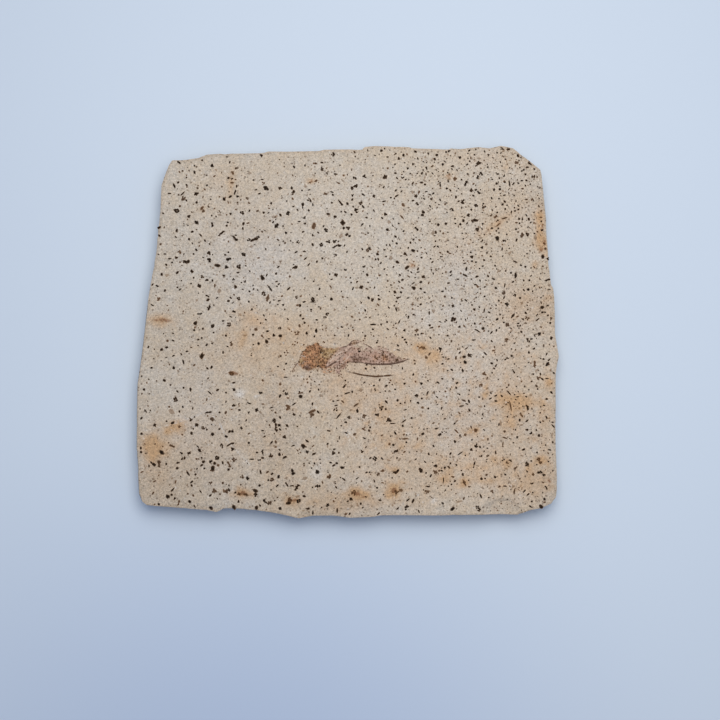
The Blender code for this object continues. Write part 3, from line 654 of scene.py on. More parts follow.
def reach(triangles, height, angles):
    """How far the solid reaches at a height along each direction from the middle: the
    farthest crossing of that ray with the level cut through its triangles."""
    rise = triangles[:, :, 2] - height
    next_rise = np.roll(rise, -1, axis=1)
    crosses = (rise > 0.0) != (next_rise > 0.0)
    share = rise / np.where(crosses, rise - next_rise, 1.0)
    flat = triangles[:, :, :2]
    points = flat + share[..., None] * (np.roll(flat, -1, axis=1) - flat)
    ends = points[crosses].reshape(-1, 2, 2)
    start, span = ends[:, 0], ends[:, 1] - ends[:, 0]
    ray = np.stack([np.cos(angles), np.sin(angles)], axis=1)
    side_start = ray[:, :1] * start[:, 1] - ray[:, 1:] * start[:, 0]
    side_span = ray[:, :1] * span[:, 1] - ray[:, 1:] * span[:, 0]
    t = -side_start / np.where(np.abs(side_span) < 1e-12, 1e-12, side_span)
    far = ray[:, :1] * (start[:, 0] + t * span[:, 0]) + ray[:, 1:] * (start[:, 1] + t * span[:, 1])
    return np.where((t >= -1e-9) & (t <= 1.0 + 1e-9), far, 0.0).max(axis=1)


def patch(front, right, back, left):
    """Coons patch: the surface ruled between front and back, plus the one ruled between
    left and right, less the one ruled between the four corners."""
    u = np.linspace(0.0, 1.0, len(front))[:, None, None]
    v = np.linspace(0.0, 1.0, len(right))[None, :, None]
    ruled_y = (1.0 - v) * front[:, None] + v * back[:, None]
    ruled_x = (1.0 - u) * left[None] + u * right[None]
    ruled_xy = ((1.0 - u) * (1.0 - v) * front[0] + u * (1.0 - v) * front[-1]
                + (1.0 - u) * v * back[0] + u * v * back[-1])
    return ruled_y + ruled_x - ruled_xy


def grid_quads(index):
    """Quads of a grid of point numbers, anticlockwise where the first axis is x."""
    return np.stack([index[:-1, :-1], index[1:, :-1], index[1:, 1:], index[:-1, 1:]],
                    axis=-1).reshape(-1, 4)


def grid_loop(index):
    """The point numbers round a grid, anticlockwise from its first corner."""
    return np.concatenate([index[:-1, 0], index[-1, :-1], index[:0:-1, -1], index[0, :0:-1]])


def four_sides(ring, long_steps, wide_steps):
    """Splits a closed ring into front, right, back and left, the last two run the same
    way as the first two."""
    ring = np.concatenate([ring, ring[:1]])
    a, b, c = long_steps, long_steps + wide_steps, 2 * long_steps + wide_steps
    return ring[:a + 1], ring[a:b + 1], ring[b:c + 1][::-1], ring[c:][::-1]


# ---- Materials ----

class Value:
    """A number in a node tree. Sums and products with it are nodes too."""

    def __init__(self, nodes, socket):
        self.nodes, self.socket = nodes, socket

    def __add__(self, other):
        return self.nodes.math("ADD", self, other)

    def __sub__(self, other):
        return self.nodes.math("SUBTRACT", self, other)

    def __rsub__(self, other):
        return self.nodes.math("SUBTRACT", other, self)

    def __mul__(self, other):
        return self.nodes.math("MULTIPLY", self, other)

    __radd__, __rmul__ = __add__, __mul__


class Nodes:
    """Adds nodes to one tree, each fed from the sockets or values it is given."""

    def __init__(self, tree):
        self.tree = tree

    def feed(self, node, inputs):
        for key, value in inputs.items():
            value = getattr(value, "socket", value)
            if isinstance(value, bpy.types.NodeSocket):
                self.tree.links.new(value, node.inputs[key])
            else:
                node.inputs[key].default_value = value

    def add(self, kind, inputs, **settings):
        node = self.tree.nodes.new(kind)
        for name, value in settings.items():
            setattr(node, name, value)
        self.feed(node, inputs)
        return node.outputs

    def math(self, operation, a, b):
        return Value(self, self.add("ShaderNodeMath", {0: a, 1: b}, operation=operation)[0])

    def ease(self, low, high, value):
        inputs = {"Value": value, "From Min": low, "From Max": high}
        return Value(self, self.add("ShaderNodeMapRange", inputs,
                                    interpolation_type="SMOOTHSTEP")["Result"])

    def mix(self, share, a, b):
        a, b = (value if isinstance(value, bpy.types.NodeSocket) else (*value, 1.0)
                for value in (a, b))
        return self.add("ShaderNodeMix", {0: share, 6: a, 7: b}, data_type="RGBA")[2]

    def multiply(self, a, b):
        return self.add("ShaderNodeMix", {0: 1.0, 6: a, 7: b}, data_type="RGBA",
                        blend_type="MULTIPLY")[2]

    def brighten(self, colour, value):
        """The colour times a number."""
        return self.add("ShaderNodeVectorMath", {0: colour, "Scale": value}, operation="SCALE")[0]

    def noise(self, place, scale, detail=2.0, roughness=0.5):
        inputs = {"Vector": place, "Scale": scale, "Detail": detail, "Roughness": roughness}
        return Value(self, self.add("ShaderNodeTexNoise", inputs)["Fac"])

    def flecks(self, place, scale, rarity, width):
        """1 in small round flecks and 0 between: each Voronoi cell whose random number is
        above rarity has one, as wide as that number gives."""
        cells = self.add("ShaderNodeTexVoronoi", {"Vector": place, "Scale": scale})
        chance = self.add("ShaderNodeSeparateColor", {0: cells["Color"]})[0]
        return self.ease(-0.04, 0.06, self.ease(rarity, 1.0, chance) * width - cells["Distance"])

    def value(self, name):
        return Value(self, self.add("ShaderNodeAttribute", {}, attribute_name=name)["Fac"])

    def place(self):
        """Object coordinates in millimetres."""
        return self.brighten(self.add("ShaderNodeTexCoord", {})["Object"], 1.0 / MM)


def new_material(name, group=None):
    """A material with one Principled shader, its nodes and, where a group is given, the
    group's outputs."""
    material = bpy.data.materials.new(name)
    material.use_nodes = True
    nodes = Nodes(material.node_tree)
    outputs = nodes.add("ShaderNodeGroup", {}, node_tree=group) if group else None
    return material, nodes, outputs


def finish_surface(material, nodes, colour, roughness, height, depth, shine=0.5):
    """Feeds the shader its colour, roughness, shine and a bump of that depth in mm."""
    bump = nodes.add("ShaderNodeBump", {"Strength": 1.0, "Distance": depth * MM, "Height": height})
    nodes.feed(material.node_tree.nodes["Principled BSDF"], {
        "Base Color": colour, "Roughness": roughness, "Normal": bump[0], "Specular IOR Level": shine})
    return material


# Colours of the small marks inside the stone, and tints that its colour is multiplied by.
PEPPER = (0.14, 0.085, 0.05)
UNDER_SPECK = (0.045, 0.026, 0.014)
CRYSTAL = (0.78, 0.74, 0.68)
COOL_LIGHT = (0.966, 1.0, 1.07)
HUE_DRIFT = ((1.025, 1.0, 0.965), (0.985, 1.0, 1.03))


def limestone_group(slab):
    """Node group with the stone's colour, roughness and height, read from Object
    coordinates and from the points' stain values, which are 0 where a piece has none. Some of
    these values hold painted shade and painted highlights."""
    group = bpy.data.node_groups.new("limestone", "ShaderNodeTree")
    for name, kind in (("Colour", "Color"), ("Roughness", "Float"), ("Height", "Float")):
        group.interface.new_socket(name, in_out="OUTPUT", socket_type="NodeSocket" + kind)
    n = Nodes(group)
    place = n.place()
    drift = n.noise(place, 0.045, 2.0)
    mottle = n.noise(place, 0.28, 4.0, 0.6)
    grain = n.noise(place, 1.7, 3.0, 0.65)
    grit = n.noise(place, 2.8, 3.0, 0.9)
    hue = n.noise(place, 1.9, 3.0, 0.8)

    shade = n.mix(n.ease(0.36, 0.66, drift * 0.5 + mottle * 0.5), slab.cream, slab.grey)
    beds = n.add("ShaderNodeVectorMath", {0: place, 1: (0.06, 0.06, 1.6)}, operation="MULTIPLY")
    bands = n.noise(beds[0], 1.0, 3.0, 0.7)
    side = n.brighten(slab.broken, bands * 1.3 + 0.35)
    side = n.mix(n.ease(0.54, 0.68, bands) * 0.28, side, slab.ochre)
    shade = n.mix(n.value("broken"), shade, side)

    # The ochre value also carries painted shade: a broad darker, warmer tint at the front left, where the
    # light falls off.
    tint = n.value("ochre") * (mottle * 0.65 + 0.58)
    shade = n.mix(n.ease(0.02, 1.15, tint), shade, slab.ochre)
    spots = n.value("rust") + (grain - 0.5) * 1.4
    shade = n.mix(n.ease(0.28, 0.85, spots) * 0.85, shade, slab.rust)
    # The chalk value also carries painted highlights along the upper edge of the insect's head and body.
    bruise_and_highlight = n.value("chalk_and_highlight") * (grain + 0.45)
    shade = n.mix(n.ease(0.05, 1.0, bruise_and_highlight), shade, slab.chalk_and_highlight)

    shade = n.mix(n.flecks(place, 1.3, 0.30, 0.30) * 0.62, shade, PEPPER)
    shade = n.mix(n.flecks(place, 0.62, 0.2, 0.26) * n.value("below"), shade, UNDER_SPECK)
    shade = n.mix(n.flecks(place, 0.95, 0.6, 0.22) * 0.34, shade, CRYSTAL)

    shade = n.multiply(shade, n.mix(n.value("cool"), (1.0, 1.0, 1.0), COOL_LIGHT))
    shade = n.multiply(shade, n.mix(n.ease(0.3, 0.7, hue), *HUE_DRIFT))
    # The dull value is partly painted shade: towards the left and front left it darkens the stone where
    # the light falls off.
    light = (grit - 0.5) * 2.2 + (grain - 0.5) * 0.17 + 1.0 - n.value("dull_and_shade")
    shade = n.brighten(shade, light)
    n.add("NodeGroupOutput", {
        "Colour": shade, "Roughness": grain * 0.16 + 0.80, "Height": grit * 0.5 + grain})
    return group


def stone_material(group):
    material, n, stone = new_material("limestone", group)
    return finish_surface(material, n, stone["Colour"], stone["Roughness"], stone["Height"], 0.05)


def film_material(group, remains):
    """Stone where the film is thin, and over it mauve, orange and gold film with brown
    crumbs. Each Voronoi cell has one crumb, as wide as its random number and the crumbs
    value give."""
    material, n, stone = new_material("iron_stained_remains", group)
    place = n.place()
    fine = n.noise(place, 3.4, 2.0, 0.75)
    waver = n.noise(place, 2.4, 3.0, 0.7) - 0.5
    iron = n.ease(-0.05, 1.15, n.value("iron") + waver * 0.8)
    gold = n.ease(0.1, 1.1, n.value("gold") + waver * 1.2)
    dark = n.ease(0.15, 1.05, n.value("dark") + waver * 2.0)
    cover = n.ease(0.25, 0.75, n.value("cover") + waver * 2.6)
    film = n.mix(iron, remains.mauve, remains.orange)
    film = n.mix(gold, film, remains.gold)
    film = n.mix(n.ease(0.0, 1.0, n.value("pale")), film, remains.pale)
    film = n.brighten(film, fine * 2.8 - 0.38)
    crumbs = n.value("crumbs")
    soft = n.noise(place, 1.7, 3.0, 0.6) + crumbs * 0.24
    film = n.mix(n.ease(0.48, 0.80, soft) * 0.60, film, remains.crumb)
    cells = n.add("ShaderNodeTexVoronoi", {"Vector": place, "Scale": 2.1}, voronoi_dimensions="2D")
    chances = n.add("ShaderNodeSeparateColor", {0: cells["Color"]})
    size = n.ease(0.35, 1.35, chances[0] + crumbs * 0.9) * 0.50 + (fine - 0.5) * 0.5
    crumb = n.ease(-0.05, 0.09, size - cells["Distance"])
    strength = n.math("MULTIPLY", chances[1], 0.40) + 0.58
    film = n.mix(crumb * strength, film, remains.crumb)
    shade = n.mix(cover, stone["Colour"], film)
    shade = n.mix(dark * 0.9, shade, remains.dark)
    return finish_surface(material, n, shade, stone["Roughness"] - cover * 0.14,
                          stone["Height"] + fine * 0.6, 0.05, 0.12)


def leg_material(group, remains):
    """Dark film that gives way to stone where the leg is worn thin."""
    material, n, stone = new_material("dark_remains", group)
    grain = n.noise(n.place(), 3.2, 2.0, 0.6)
    cover = n.ease(0.2, 0.8, n.value("cover") + (grain - 0.5))
    tone = n.mix(n.ease(0.35, 0.7, grain), remains.limb, remains.crumb)
    shade = n.mix(cover, stone["Colour"], tone)
    return finish_surface(material, n, shade, stone["Roughness"], grain, 0.03, 0.12)


def grain_material(group, name, core, rim, veil):
    """Dark core and browner rim, with the stone showing through by veil."""
    material, n, stone = new_material(name, group)
    patch_noise = n.noise(n.place(), 5.0, 2.0, 0.6)
    edge = n.ease(0.1, 0.9, n.value("edge") + (patch_noise - 0.5))
    tone = n.brighten(n.mix(edge, core, rim), n.value("tone") + 0.55)
    shade = n.mix(edge * 0.16 + veil, tone, stone["Colour"])
    return finish_surface(material, n, shade, patch_noise * 0.3 + 0.5, patch_noise, 0.03, 0.06)


def shared_limestone():
    """The stone's node group, made once."""
    group = bpy.data.node_groups.get("limestone")
    return group or limestone_group(bpy.context.scene.fossil_slab)


# ---- Face, film and stains as functions of x and y ----

FACE_SINK = 0.12  # how far the face lies below the top of the CAD slab


def face_height(x, y):
    """Level of the split face: the slab's thickness less a slow swell, fine grit, and
    bowls of sqrt(1 - d^2) where the rim has spalled."""
    slab = bpy.context.scene.fossil_slab
    swell, grit = slab.swell / MM, slab.grit / MM
    level = THICKNESS - FACE_SINK + swell * (layered_noise(x, y, 26.0, 3, 5) - 0.2)
    level = level + grit * layered_noise(x, y, 2.4, 2, 9)
    for sx, sy, wide, deep, depth in SPALLS:
        d = np.hypot((x - sx) / wide, (y - sy) / deep) * (1.0 + 0.15 * lattice_noise(x, y, 1.1, 3))
        level = level - depth * np.sqrt(np.clip(1.0 - d * d, 0.0, 1.0))
    level = level - SCRATCH_DEPTH * strokes(x, y, SCRATCHES)
    return np.minimum(level, THICKNESS)


def stains(x, y):
    """The stains' values at each point; the dull areas and the broad ochre tint at the front left hold
    painted shade, and three chalk marks hold painted highlights.
    """
    return {
        "ochre": blots(x, y, OCHRE_AND_SHADE_TINTS, seed=60),
        "rust": blots(x, y, RUST_SPOTS, 0.6, seed=70),
        "chalk_and_highlight": blots(x, y, CHALK_AND_HIGHLIGHT_MARKS, 0.5, seed=80) + strokes(x, y, SCRATCHES),
        "cool": blots(x, y, COOL_AREAS, seed=82),
        "dull_and_shade": blots(x, y, DULL_AND_SHADE_AREAS, seed=85),
    }


def film_depth(x, y):
    """Distance inside the insect's outline, made ragged by noise, most on the body."""
    ragged = 0.10 + 0.12 * ease(0.5, -2.0, x)
    return depth_inside(x, y, SILHOUETTE) + ragged * layered_noise(x, y, 0.7, 2, 21)


def film_relief(x, y):
    """Height of the film over the face: 0 under the stone at the edge, a low dome on the
    body, and ridges along the thigh, shin, feeler and wing edges."""
    relief = bpy.context.scene.fossil_remains.relief / MM
    depth = film_depth(x, y)
    body = ease(-3.0, -6.0, x)
    rise = ease(-0.05, 0.35, depth) * (0.35 + 0.45 * body * ease(0.0, 2.2, depth))
    ridges = strokes(x, y, (
        (0.16, 0.45, THIGH_UPPER), (0.16, 0.5, THIGH_LOWER), (0.15, 0.5, SHIN),
        (0.14, 0.5, WING_EDGE), (0.20, 0.7, WING_TIP_EDGE), (0.12, 0.7, FEELER),
    ))
    lumps = body * ease(0.1, 0.6, depth) * 0.3 * layered_noise(x, y, 0.9, 2, 31)
    veins = ease(0.0, 3.0, x) * ease(0.05, 0.5, depth) * 0.16 * vein_waves(x, y)
    return relief * (rise + ridges + lumps + veins)


def combed(x, y, degrees, drawn, cell, seed):
    """Noise drawn out along a direction, as fibres are."""
    slope = math.radians(degrees)
    along = x * math.cos(slope) + y * math.sin(slope)
    across = y * math.cos(slope) - x * math.sin(slope)
    return layered_noise(along / drawn, across, cell, 2, seed)


def vein_waves(x, y):
    """Fine waves that run along the wings."""
    return combed(x, y, -12.0, 7.0, 0.34, 41)


# ---- The slab ----

LONG_STEPS = 256  # squares along the front and back
WIDE_STEPS = 228  # squares along the right and left
UNDER_STEP = 4  # side stations for each square of the underside
RIM_SHARE = 0.88  # height of the slab's widest bed, as a share of its thickness
BEDS_SHARE = 0.955  # height of the top of the beds
RIM_ROUNDING = (0.985, 0.996)  # heights of the two rings that round off the rim
CAD_GAP = 0.02  # the least distance to the top and underside of the CAD slab
FILM_BED = 0.12  # how far the stone sinks under the film
UNDER_SET_IN = 0.975  # size of the underside's grid, as a share of the lowest ring
# The UV map: the face, and to its right the underside turned a quarter, both measured from
# UV_CORNER in mm, and above them one strip for each of the four sides.
UV_GAP = 0.005
UV_CORNER = (48.3, 43.1)
FACE_UV = 0.76 / 97.0
UNDER_UV = 0.0024
UNDER_UV_FROM = (0.785, UV_GAP)
STRIP_UV_FROM = (UV_GAP, 0.695)
STRIP_UV_LONG, STRIP_UV_HIGH, STRIP_UV_PITCH = 0.74 / 1.02, 0.068, 0.075
# How much of each part of the mesh is freshly broken stone, and how much of the face's
# stains the sides show.
RIM_BROKEN, TOP_RINGS_BROKEN, UNDER_BROKEN = 0.25, 0.3, 0.25
SIDE_STAINS = 0.4


def stations(triangles):
    """Directions of the side's stations: even steps round the widest bed, in turn along
    the front, right, back and left, which meet at its four corners."""
    angles = np.linspace(-math.pi, math.pi, 8001)
    radius = reach(triangles, RIM_SHARE * THICKNESS, angles)
    x, y = radius * np.cos(angles), radius * np.sin(angles)
    corners = [int(np.argmax(sx * x + sy * y)) for sx, sy in ((-1, -1), (1, -1), (1, 1), (-1, 1))]
    steps = (LONG_STEPS, WIDE_STEPS, LONG_STEPS, WIDE_STEPS)
    walked = np.concatenate([[0.0], np.cumsum(np.hypot(np.diff(x), np.diff(y)))])
    found = []
    for start, end, count in zip(corners, corners[1:] + corners[:1], steps):
        whole = (walked[end] - walked[start]) % walked[-1]
        lengths = (walked[start] + np.arange(count) / count * whole) % walked[-1]
        found.append(np.interp(lengths, walked, angles))
    return np.concatenate(found)


def outward(ring):
    """Unit normals of an anticlockwise ring, taken over a few steps to each side."""
    along = np.roll(ring, -4, axis=0) - np.roll(ring, 4, axis=0)
    normal = np.stack([along[:, 1], -along[:, 0]], axis=1)
    return normal / np.linalg.norm(normal, axis=1, keepdims=True)


def side_rows(triangles, angles):
    """Rings of the broken side from the underside up: two for each thin bed, each bed
    set in by its own noise along the edge, then two that round off the rim."""
    slab = bpy.context.scene.fossil_slab
    chipping, ledge = slab.chipping / MM, slab.ledge / MM
    ray = np.stack([np.cos(angles), np.sin(angles)], axis=1)
    widest = reach(triangles, RIM_SHARE * THICKNESS, angles)[:, None] * ray
    normal = outward(widest)
    step = np.hypot(*(np.roll(widest, -1, axis=0) - widest).T)
    walked = np.cumsum(step) - step
    turn = walked / walked[-1] * TAU
    round_x, round_y = walked[-1] / TAU * np.cos(turn), walked[-1] / TAU * np.sin(turn)

    random = np.random.default_rng(12)
    thickness = random.uniform(0.4, 1.6, slab.laminae)
    beds = np.concatenate([[0.0], np.cumsum(thickness) / thickness.sum()]) * BEDS_SHARE
    shares, insets = [], []
    fracture = layered_noise(round_x, round_y, 6.0, 4, 14)
    for bed, (low, high) in enumerate(zip(beds, beds[1:])):
        own = np.floor(3.0 + 3.0 * lattice_noise(round_x + 40.0 * bed, round_y, 3.6, 15)) / 3.0
        fine = lattice_noise(round_x, round_y + 30.0 * bed, 0.9, 16)
        inset = ledge * (0.2 + 1.1 * own + 0.4 * fine) + chipping * (0.5 + 0.6 * fracture)
        warp = 0.012 * lattice_noise(round_x, round_y, 17.0, 17 + bed // 3) * math.sin(math.pi * low)
        shares += [low + 0.004 + warp, high - 0.004 + warp]
        insets += [inset, inset + 0.05 * lattice_noise(round_x, round_y, 0.7, 60 + bed)]
    chips = chipping * ease(0.1, 0.9, layered_noise(round_x, round_y, 3.0, 3, 18))
    shares += [np.full(len(angles), share) for share in RIM_ROUNDING]
    insets += [0.04 + 0.5 * chips, 0.10 + 0.8 * chips]
    top_inset = 0.12 + chips + 0.07 * lattice_noise(round_x, round_y, 0.8, 19)

    top_radius = reach(triangles, THICKNESS - CAD_GAP, angles)
    rim = top_radius[:, None] * ray - normal * np.maximum(top_inset, 0.0)[:, None]
    rim_height = face_height(rim[:, 0], rim[:, 1])
    rows = []
    for share, inset in zip(shares, insets):
        z = np.clip(share * rim_height, CAD_GAP, THICKNESS - CAD_GAP)
        radius = reach(triangles, float(np.clip(np.mean(z), 0.03, THICKNESS - 0.03)), angles)
        flat = radius[:, None] * ray - normal * np.maximum(inset, 0.0)[:, None]
        rows.append(np.column_stack([flat, z]))
    return np.array(rows), rim


def under_height(x, y):
    """The underside: level patches at 0 that it rests on, and hollows between them."""
    return np.maximum(0.0, 0.14 * layered_noise(x, y, 14.0, 4, 90) - 0.02)


def slab_mesh():
    """Points, faces, UV corners and stain values of the whole stone."""
    triangles = cad_triangles("limestone_slab")
    angles = stations(triangles)
    rows, rim = side_rows(triangles, angles)
    count = len(angles)

    face = patch(*four_sides(rim, LONG_STEPS, WIDE_STEPS))
    face_x, face_y = face[..., 0], face[..., 1]
    under_film = ease(0.35, 0.8, film_depth(face_x, face_y))
    face_z = face_height(face_x, face_y) - FILM_BED * under_film
    top = np.dstack([face, face_z]).reshape(-1, 3)
    top_index = np.arange(len(top)).reshape(face.shape[:2])

    under_from = len(top) + len(rows) * count
    side_index = np.arange(len(top), under_from).reshape(-1, count)
    rings = np.vstack([side_index, grid_loop(top_index)])
    rings = np.column_stack([rings, rings[:, 0]])

    inner = rows[0, ::UNDER_STEP, :2] * UNDER_SET_IN
    under = patch(*four_sides(inner, LONG_STEPS // UNDER_STEP, WIDE_STEPS // UNDER_STEP))
    under_z = under_height(under[..., 0], under[..., 1])
    bottom = np.dstack([under, under_z]).reshape(-1, 3)
    bottom_index = under_from + np.arange(len(bottom)).reshape(under.shape[:2])

    points = np.vstack([top, rows.reshape(-1, 3), bottom])
    outer = np.append(side_index[0], side_index[0, 0])
    ring = grid_loop(bottom_index)
    ring = np.append(ring, ring[0])
    a, b = ring[:-1], ring[1:]
    f = [outer[k:len(outer) - 1:UNDER_STEP] for k in range(UNDER_STEP)]
    f.append(outer[UNDER_STEP::UNDER_STEP])
    fans = np.concatenate([np.stack(t, axis=1) for t in (
        (a, f[1], f[0]), (a, f[2], f[1]), (a, b, f[2]), (b, f[3], f[2]), (b, f[4], f[3]))])
    top_quads = grid_quads(top_index)
    under_quads = grid_quads(bottom_index)[:, ::-1]
    side_quads = grid_quads(rings.T)

    from_corner = points[:, :2] + UV_CORNER
    flat_uv = UV_GAP + from_corner * FACE_UV
    under_uv = UNDER_UV_FROM + from_corner[:, ::-1] * UNDER_UV
    edge = np.cumsum([0, LONG_STEPS, WIDE_STEPS, LONG_STEPS, WIDE_STEPS])
    row, station = np.meshgrid(np.arange(len(rings) - 1), np.arange(count), indexing="ij")
    station = np.stack([station, station + 1, station + 1, station], axis=-1)
    row = np.stack([row, row, row + 1, row + 1], axis=-1)
    strip = np.searchsorted(edge, station[..., :1], side="right") - 1
    along = STRIP_UV_LONG * (station - edge[strip]) / LONG_STEPS
    up = STRIP_UV_PITCH * strip + STRIP_UV_HIGH * row / len(rings)
    side_uv = STRIP_UV_FROM + np.stack([along, up], axis=-1)
    side_uv = side_uv.transpose(1, 0, 2, 3).reshape(-1, 4, 2)

    quads = np.vstack([top_quads, side_quads, under_quads])
    corners = [flat_uv[top_quads], side_uv, under_uv[under_quads], under_uv[fans]]
    values = stains(points[:, 0], points[:, 1])
    broken = np.zeros(len(points))
    broken[grid_loop(top_index)] = RIM_BROKEN
    sides = slice(len(top), under_from)
    # The front side takes the full dark brown of the side colour and the other sides 0.4 of it, so the
    # front side is darker than the rest.
    broken[sides] = 0.4 + 0.6 * ease(-37.0, -40.5, points[sides, 1])
    broken[side_index[-2:]] = TOP_RINGS_BROKEN
    broken[under_from:] = UNDER_BROKEN
    values["broken"] = broken
    values["below"] = (np.arange(len(points)) >= under_from).astype(float)
    for key in ("ochre", "rust", "chalk_and_highlight"):
        values[key][len(top):] *= SIDE_STAINS
    smooth = np.ones(len(quads) + len(fans), bool)
    smooth[len(top_quads):len(top_quads) + count * (len(rows) - 3)] = False
    return points, (quads, fans), corners, values, smooth


class FOSSIL_OT_stone_slab(bpy.types.Operator):
    """Builds the limestone slab with its stained face and thin-bedded broken sides"""
    bl_idname = "fossil.stone_slab"
    bl_label = "Stone slab"

    def execute(self, context):
        material = stone_material(shared_limestone())
        join_on(new_piece("stone_slab", material, *slab_mesh()), "limestone", "limestone_slab")
        return {"FINISHED"}


# ---- The insect ----

def film_values(x, y):
    """How much film covers the stone, how much of it is orange or gold, how many crumbs
    it has, and where it is dark or pale."""
    depth = film_depth(x, y)
    thigh = tuple(THIGH_UPPER) + tuple(reversed(THIGH_LOWER))
    in_thigh = ease(-0.1, 0.2, depth_inside(x, y, thigh))
    bare = ease(-0.3, 0.3, depth_inside(x, y, BARE_PATCH))
    head = ease(-5.6, -6.6, x)
    body = ease(-2.2, -3.6, x) * (1.0 - in_thigh)
    wing = ease(-1.5, 2.0, x)
    tip = ease(9.0, 12.5, x)
    veins = vein_waves(x, y)
    fibres = combed(x, y, 43.0, 5.0, 0.36, 43)
    blotch = layered_noise(x, y, 1.3, 3, 33)
    upper_wing = wing * ease(-5.9, -4.4, y)

    cover = ease(-0.30, 0.55, depth) * (1.0 + 0.2 * blotch)
    cover = cover + 0.5 * ease(-0.1, 0.2, depth) * blots(x, y, LOOSE_PATCH)
    cover = cover * (1.0 - 0.30 * upper_wing) + upper_wing * 0.45 * veins
    frayed = ease(-7.9, -9.2, y) * ease(-8.2, -7.0, x) * ease(-2.2, -3.2, x)
    frayed = frayed + 0.4 * ease(-8.2, -9.2, y) * head
    thin = head * ease(-0.1, 0.6, layered_noise(x, y, 0.75, 2, 47))
    cover = cover * (1.0 - 0.15 * thin)
    cover = cover * (1.0 - 0.75 * bare) * (1.0 - 0.40 * tip) * (1.0 - 0.55 * frayed)

    iron = (0.86 - 0.45 * thin) * head + 0.62 * body + (0.50 - 0.30 * wing) * blotch
    iron = iron + blots(x, y, IRON_PATCHES, 0.5, 36)
    gold = blots(x, y, GOLD_PATCHES, 0.4, 37)
    gold = gold * (1.0 + 0.5 * body * fibres)

    crumbs = 0.32 * body + 0.24 * head + 0.17 * wing * (1.0 - bare)
    crumbs = crumbs + 0.35 * body * ease(-0.1, 0.7, fibres) * ease(-6.6, -5.4, x)
    crumbs = crumbs + blots(x, y, CRUMB_PATCHES, 0.4, 39)
    crumbs = crumbs * (1.0 - 0.75 * in_thigh)

    patches = blots(x, y, DARK_PATCHES, 0.5, 38)
    lines = strokes(x, y, DARK_LINES) * (1.0 + 0.55 * layered_noise(x, y, 0.55, 1, 46))
    rim = np.exp(-((depth - 0.1) / 0.2) ** 2) * head * 0.10
    dark = lines + patches + rim - 0.55 * upper_wing * veins
    by_feeler = 0.3 - distance_to(x, y, FEELER)
    edge_fade = ease(-0.35, 0.05, np.maximum(depth, by_feeler) + 0.6 * (lines > 0.3))
    pale = strokes(x, y, LIGHT_LINES) + 0.30 * in_thigh + 0.5 * bare + 0.40 * upper_wing * (veins > 0.2)
    return {"cover": cover + 0.6 * (lines > 0.45) * (depth < 0.1), "iron": iron, "gold": gold,
            "crumbs": crumbs, "dark": dark * edge_fade, "pale": pale}


FILM_X = (-13.4, 14.4)
FILM_Y = (-11.2, -1.7)
FILM_ROOT = 0.2  # how far the underside of the film lies below the face
FILM_UV = (0.98 / 28.4, 1.4 / 28.4)
FILM_UV_CORNER = (13.6, 11.4)
UNDER_FILM_UV = (0.0, 0.5)


def film_mesh():
    """A closed shell over the insect: the squares of a grid whose corners lie in or near
    the outline, on the film's height, and the same squares below it."""
    step = bpy.context.scene.fossil_remains.grid / MM
    x, y = np.meshgrid(np.arange(*FILM_X, step), np.arange(*FILM_Y, step), indexing="ij")
    near = np.maximum(film_depth(x, y), 0.45 - distance_to(x, y, FEELER)) > -0.25
    kept = near[:-1, :-1] & near[1:, :-1] & near[1:, 1:] & near[:-1, 1:]
    used = np.zeros(x.shape, bool)
    for i, j in ((0, 0), (1, 0), (1, 1), (0, 1)):
        used[i:i + kept.shape[0], j:j + kept.shape[1]] |= kept
    index = np.where(used, np.cumsum(used).reshape(used.shape) - 1, -1)
    x, y = x[used], y[used]
    count = len(x)
    depth = film_depth(x, y)
    surface = face_height(x, y) + film_relief(x, y)
    surface = surface - 0.10 * ease(0.05, -0.22, np.maximum(depth, 0.2 - distance_to(x, y, FEELER)))
    surface = np.minimum(surface, INSECT_TOP)
    below = face_height(x, y) - FILM_ROOT
    points = np.vstack([np.column_stack([x, y, surface]), np.column_stack([x, y, below])])

    upper = grid_quads(index)[kept.reshape(-1)]
    lower = upper[:, ::-1] + count
    edges = np.concatenate([upper[:, (k, (k + 1) % 4)] for k in range(4)])
    key = edges[:, 0] * count + edges[:, 1]
    back = edges[:, 1] * count + edges[:, 0]
    rim = edges[~np.isin(key, back)]
    walls = np.stack([rim[:, 1], rim[:, 0], rim[:, 0] + count, rim[:, 1] + count], axis=1)

    uv = UV_GAP + (np.column_stack([x, y]) + FILM_UV_CORNER) * FILM_UV
    uv = np.vstack([uv, uv + UNDER_FILM_UV])
    values = stains(x, y)
    values.update(film_values(x, y))
    values = {name: np.concatenate([value, value]) for name, value in values.items()}
    quads = np.vstack([upper, lower, walls])
    return points, (quads,), [uv[quads]], values


class FOSSIL_OT_insect(bpy.types.Operator):
    """Builds the mineral film of head, body, thigh, shin and wings"""
    bl_idname = "fossil.insect"
    bl_label = "Insect"

    def execute(self, context):
        material = film_material(shared_limestone(), context.scene.fossil_remains)
        film = new_piece("insect_film", material, *film_mesh())
        join_on(film, "iron_stained_remains", "grasshopper")
        return {"FINISHED"}


def smooth_path(path, steps):
    """Points of a curve through the path's points, by cubic Hermite spans whose slopes
    are those between the neighbours (Catmull-Rom)."""
    path = np.array(path, float)
    before = np.vstack([2.0 * path[0] - path[1], path, 2.0 * path[-1] - path[-2]])
    p0, p1, p2, p3 = (before[k:len(before) - 3 + k, None] for k in range(4))
    t = (np.arange(steps) / steps)[None, :, None]
    spans = 0.5 * (2.0 * p1 + (p2 - p0) * t + (2.0 * p0 - 5.0 * p1 + 4.0 * p2 - p3) * t ** 2
                   + (3.0 * p1 - p0 - 3.0 * p2 + p3) * t ** 3)
    return np.vstack([spans.reshape(-1, 2), path[-1:]])


LEG_STEPS = 14  # points of the leg's curve for each span of its path
LEG_SIDES = 12  # points round its section
LEG_BREAK = 7.99  # x of the small break in the leg
LEG_BREAK_HALF = 0.10


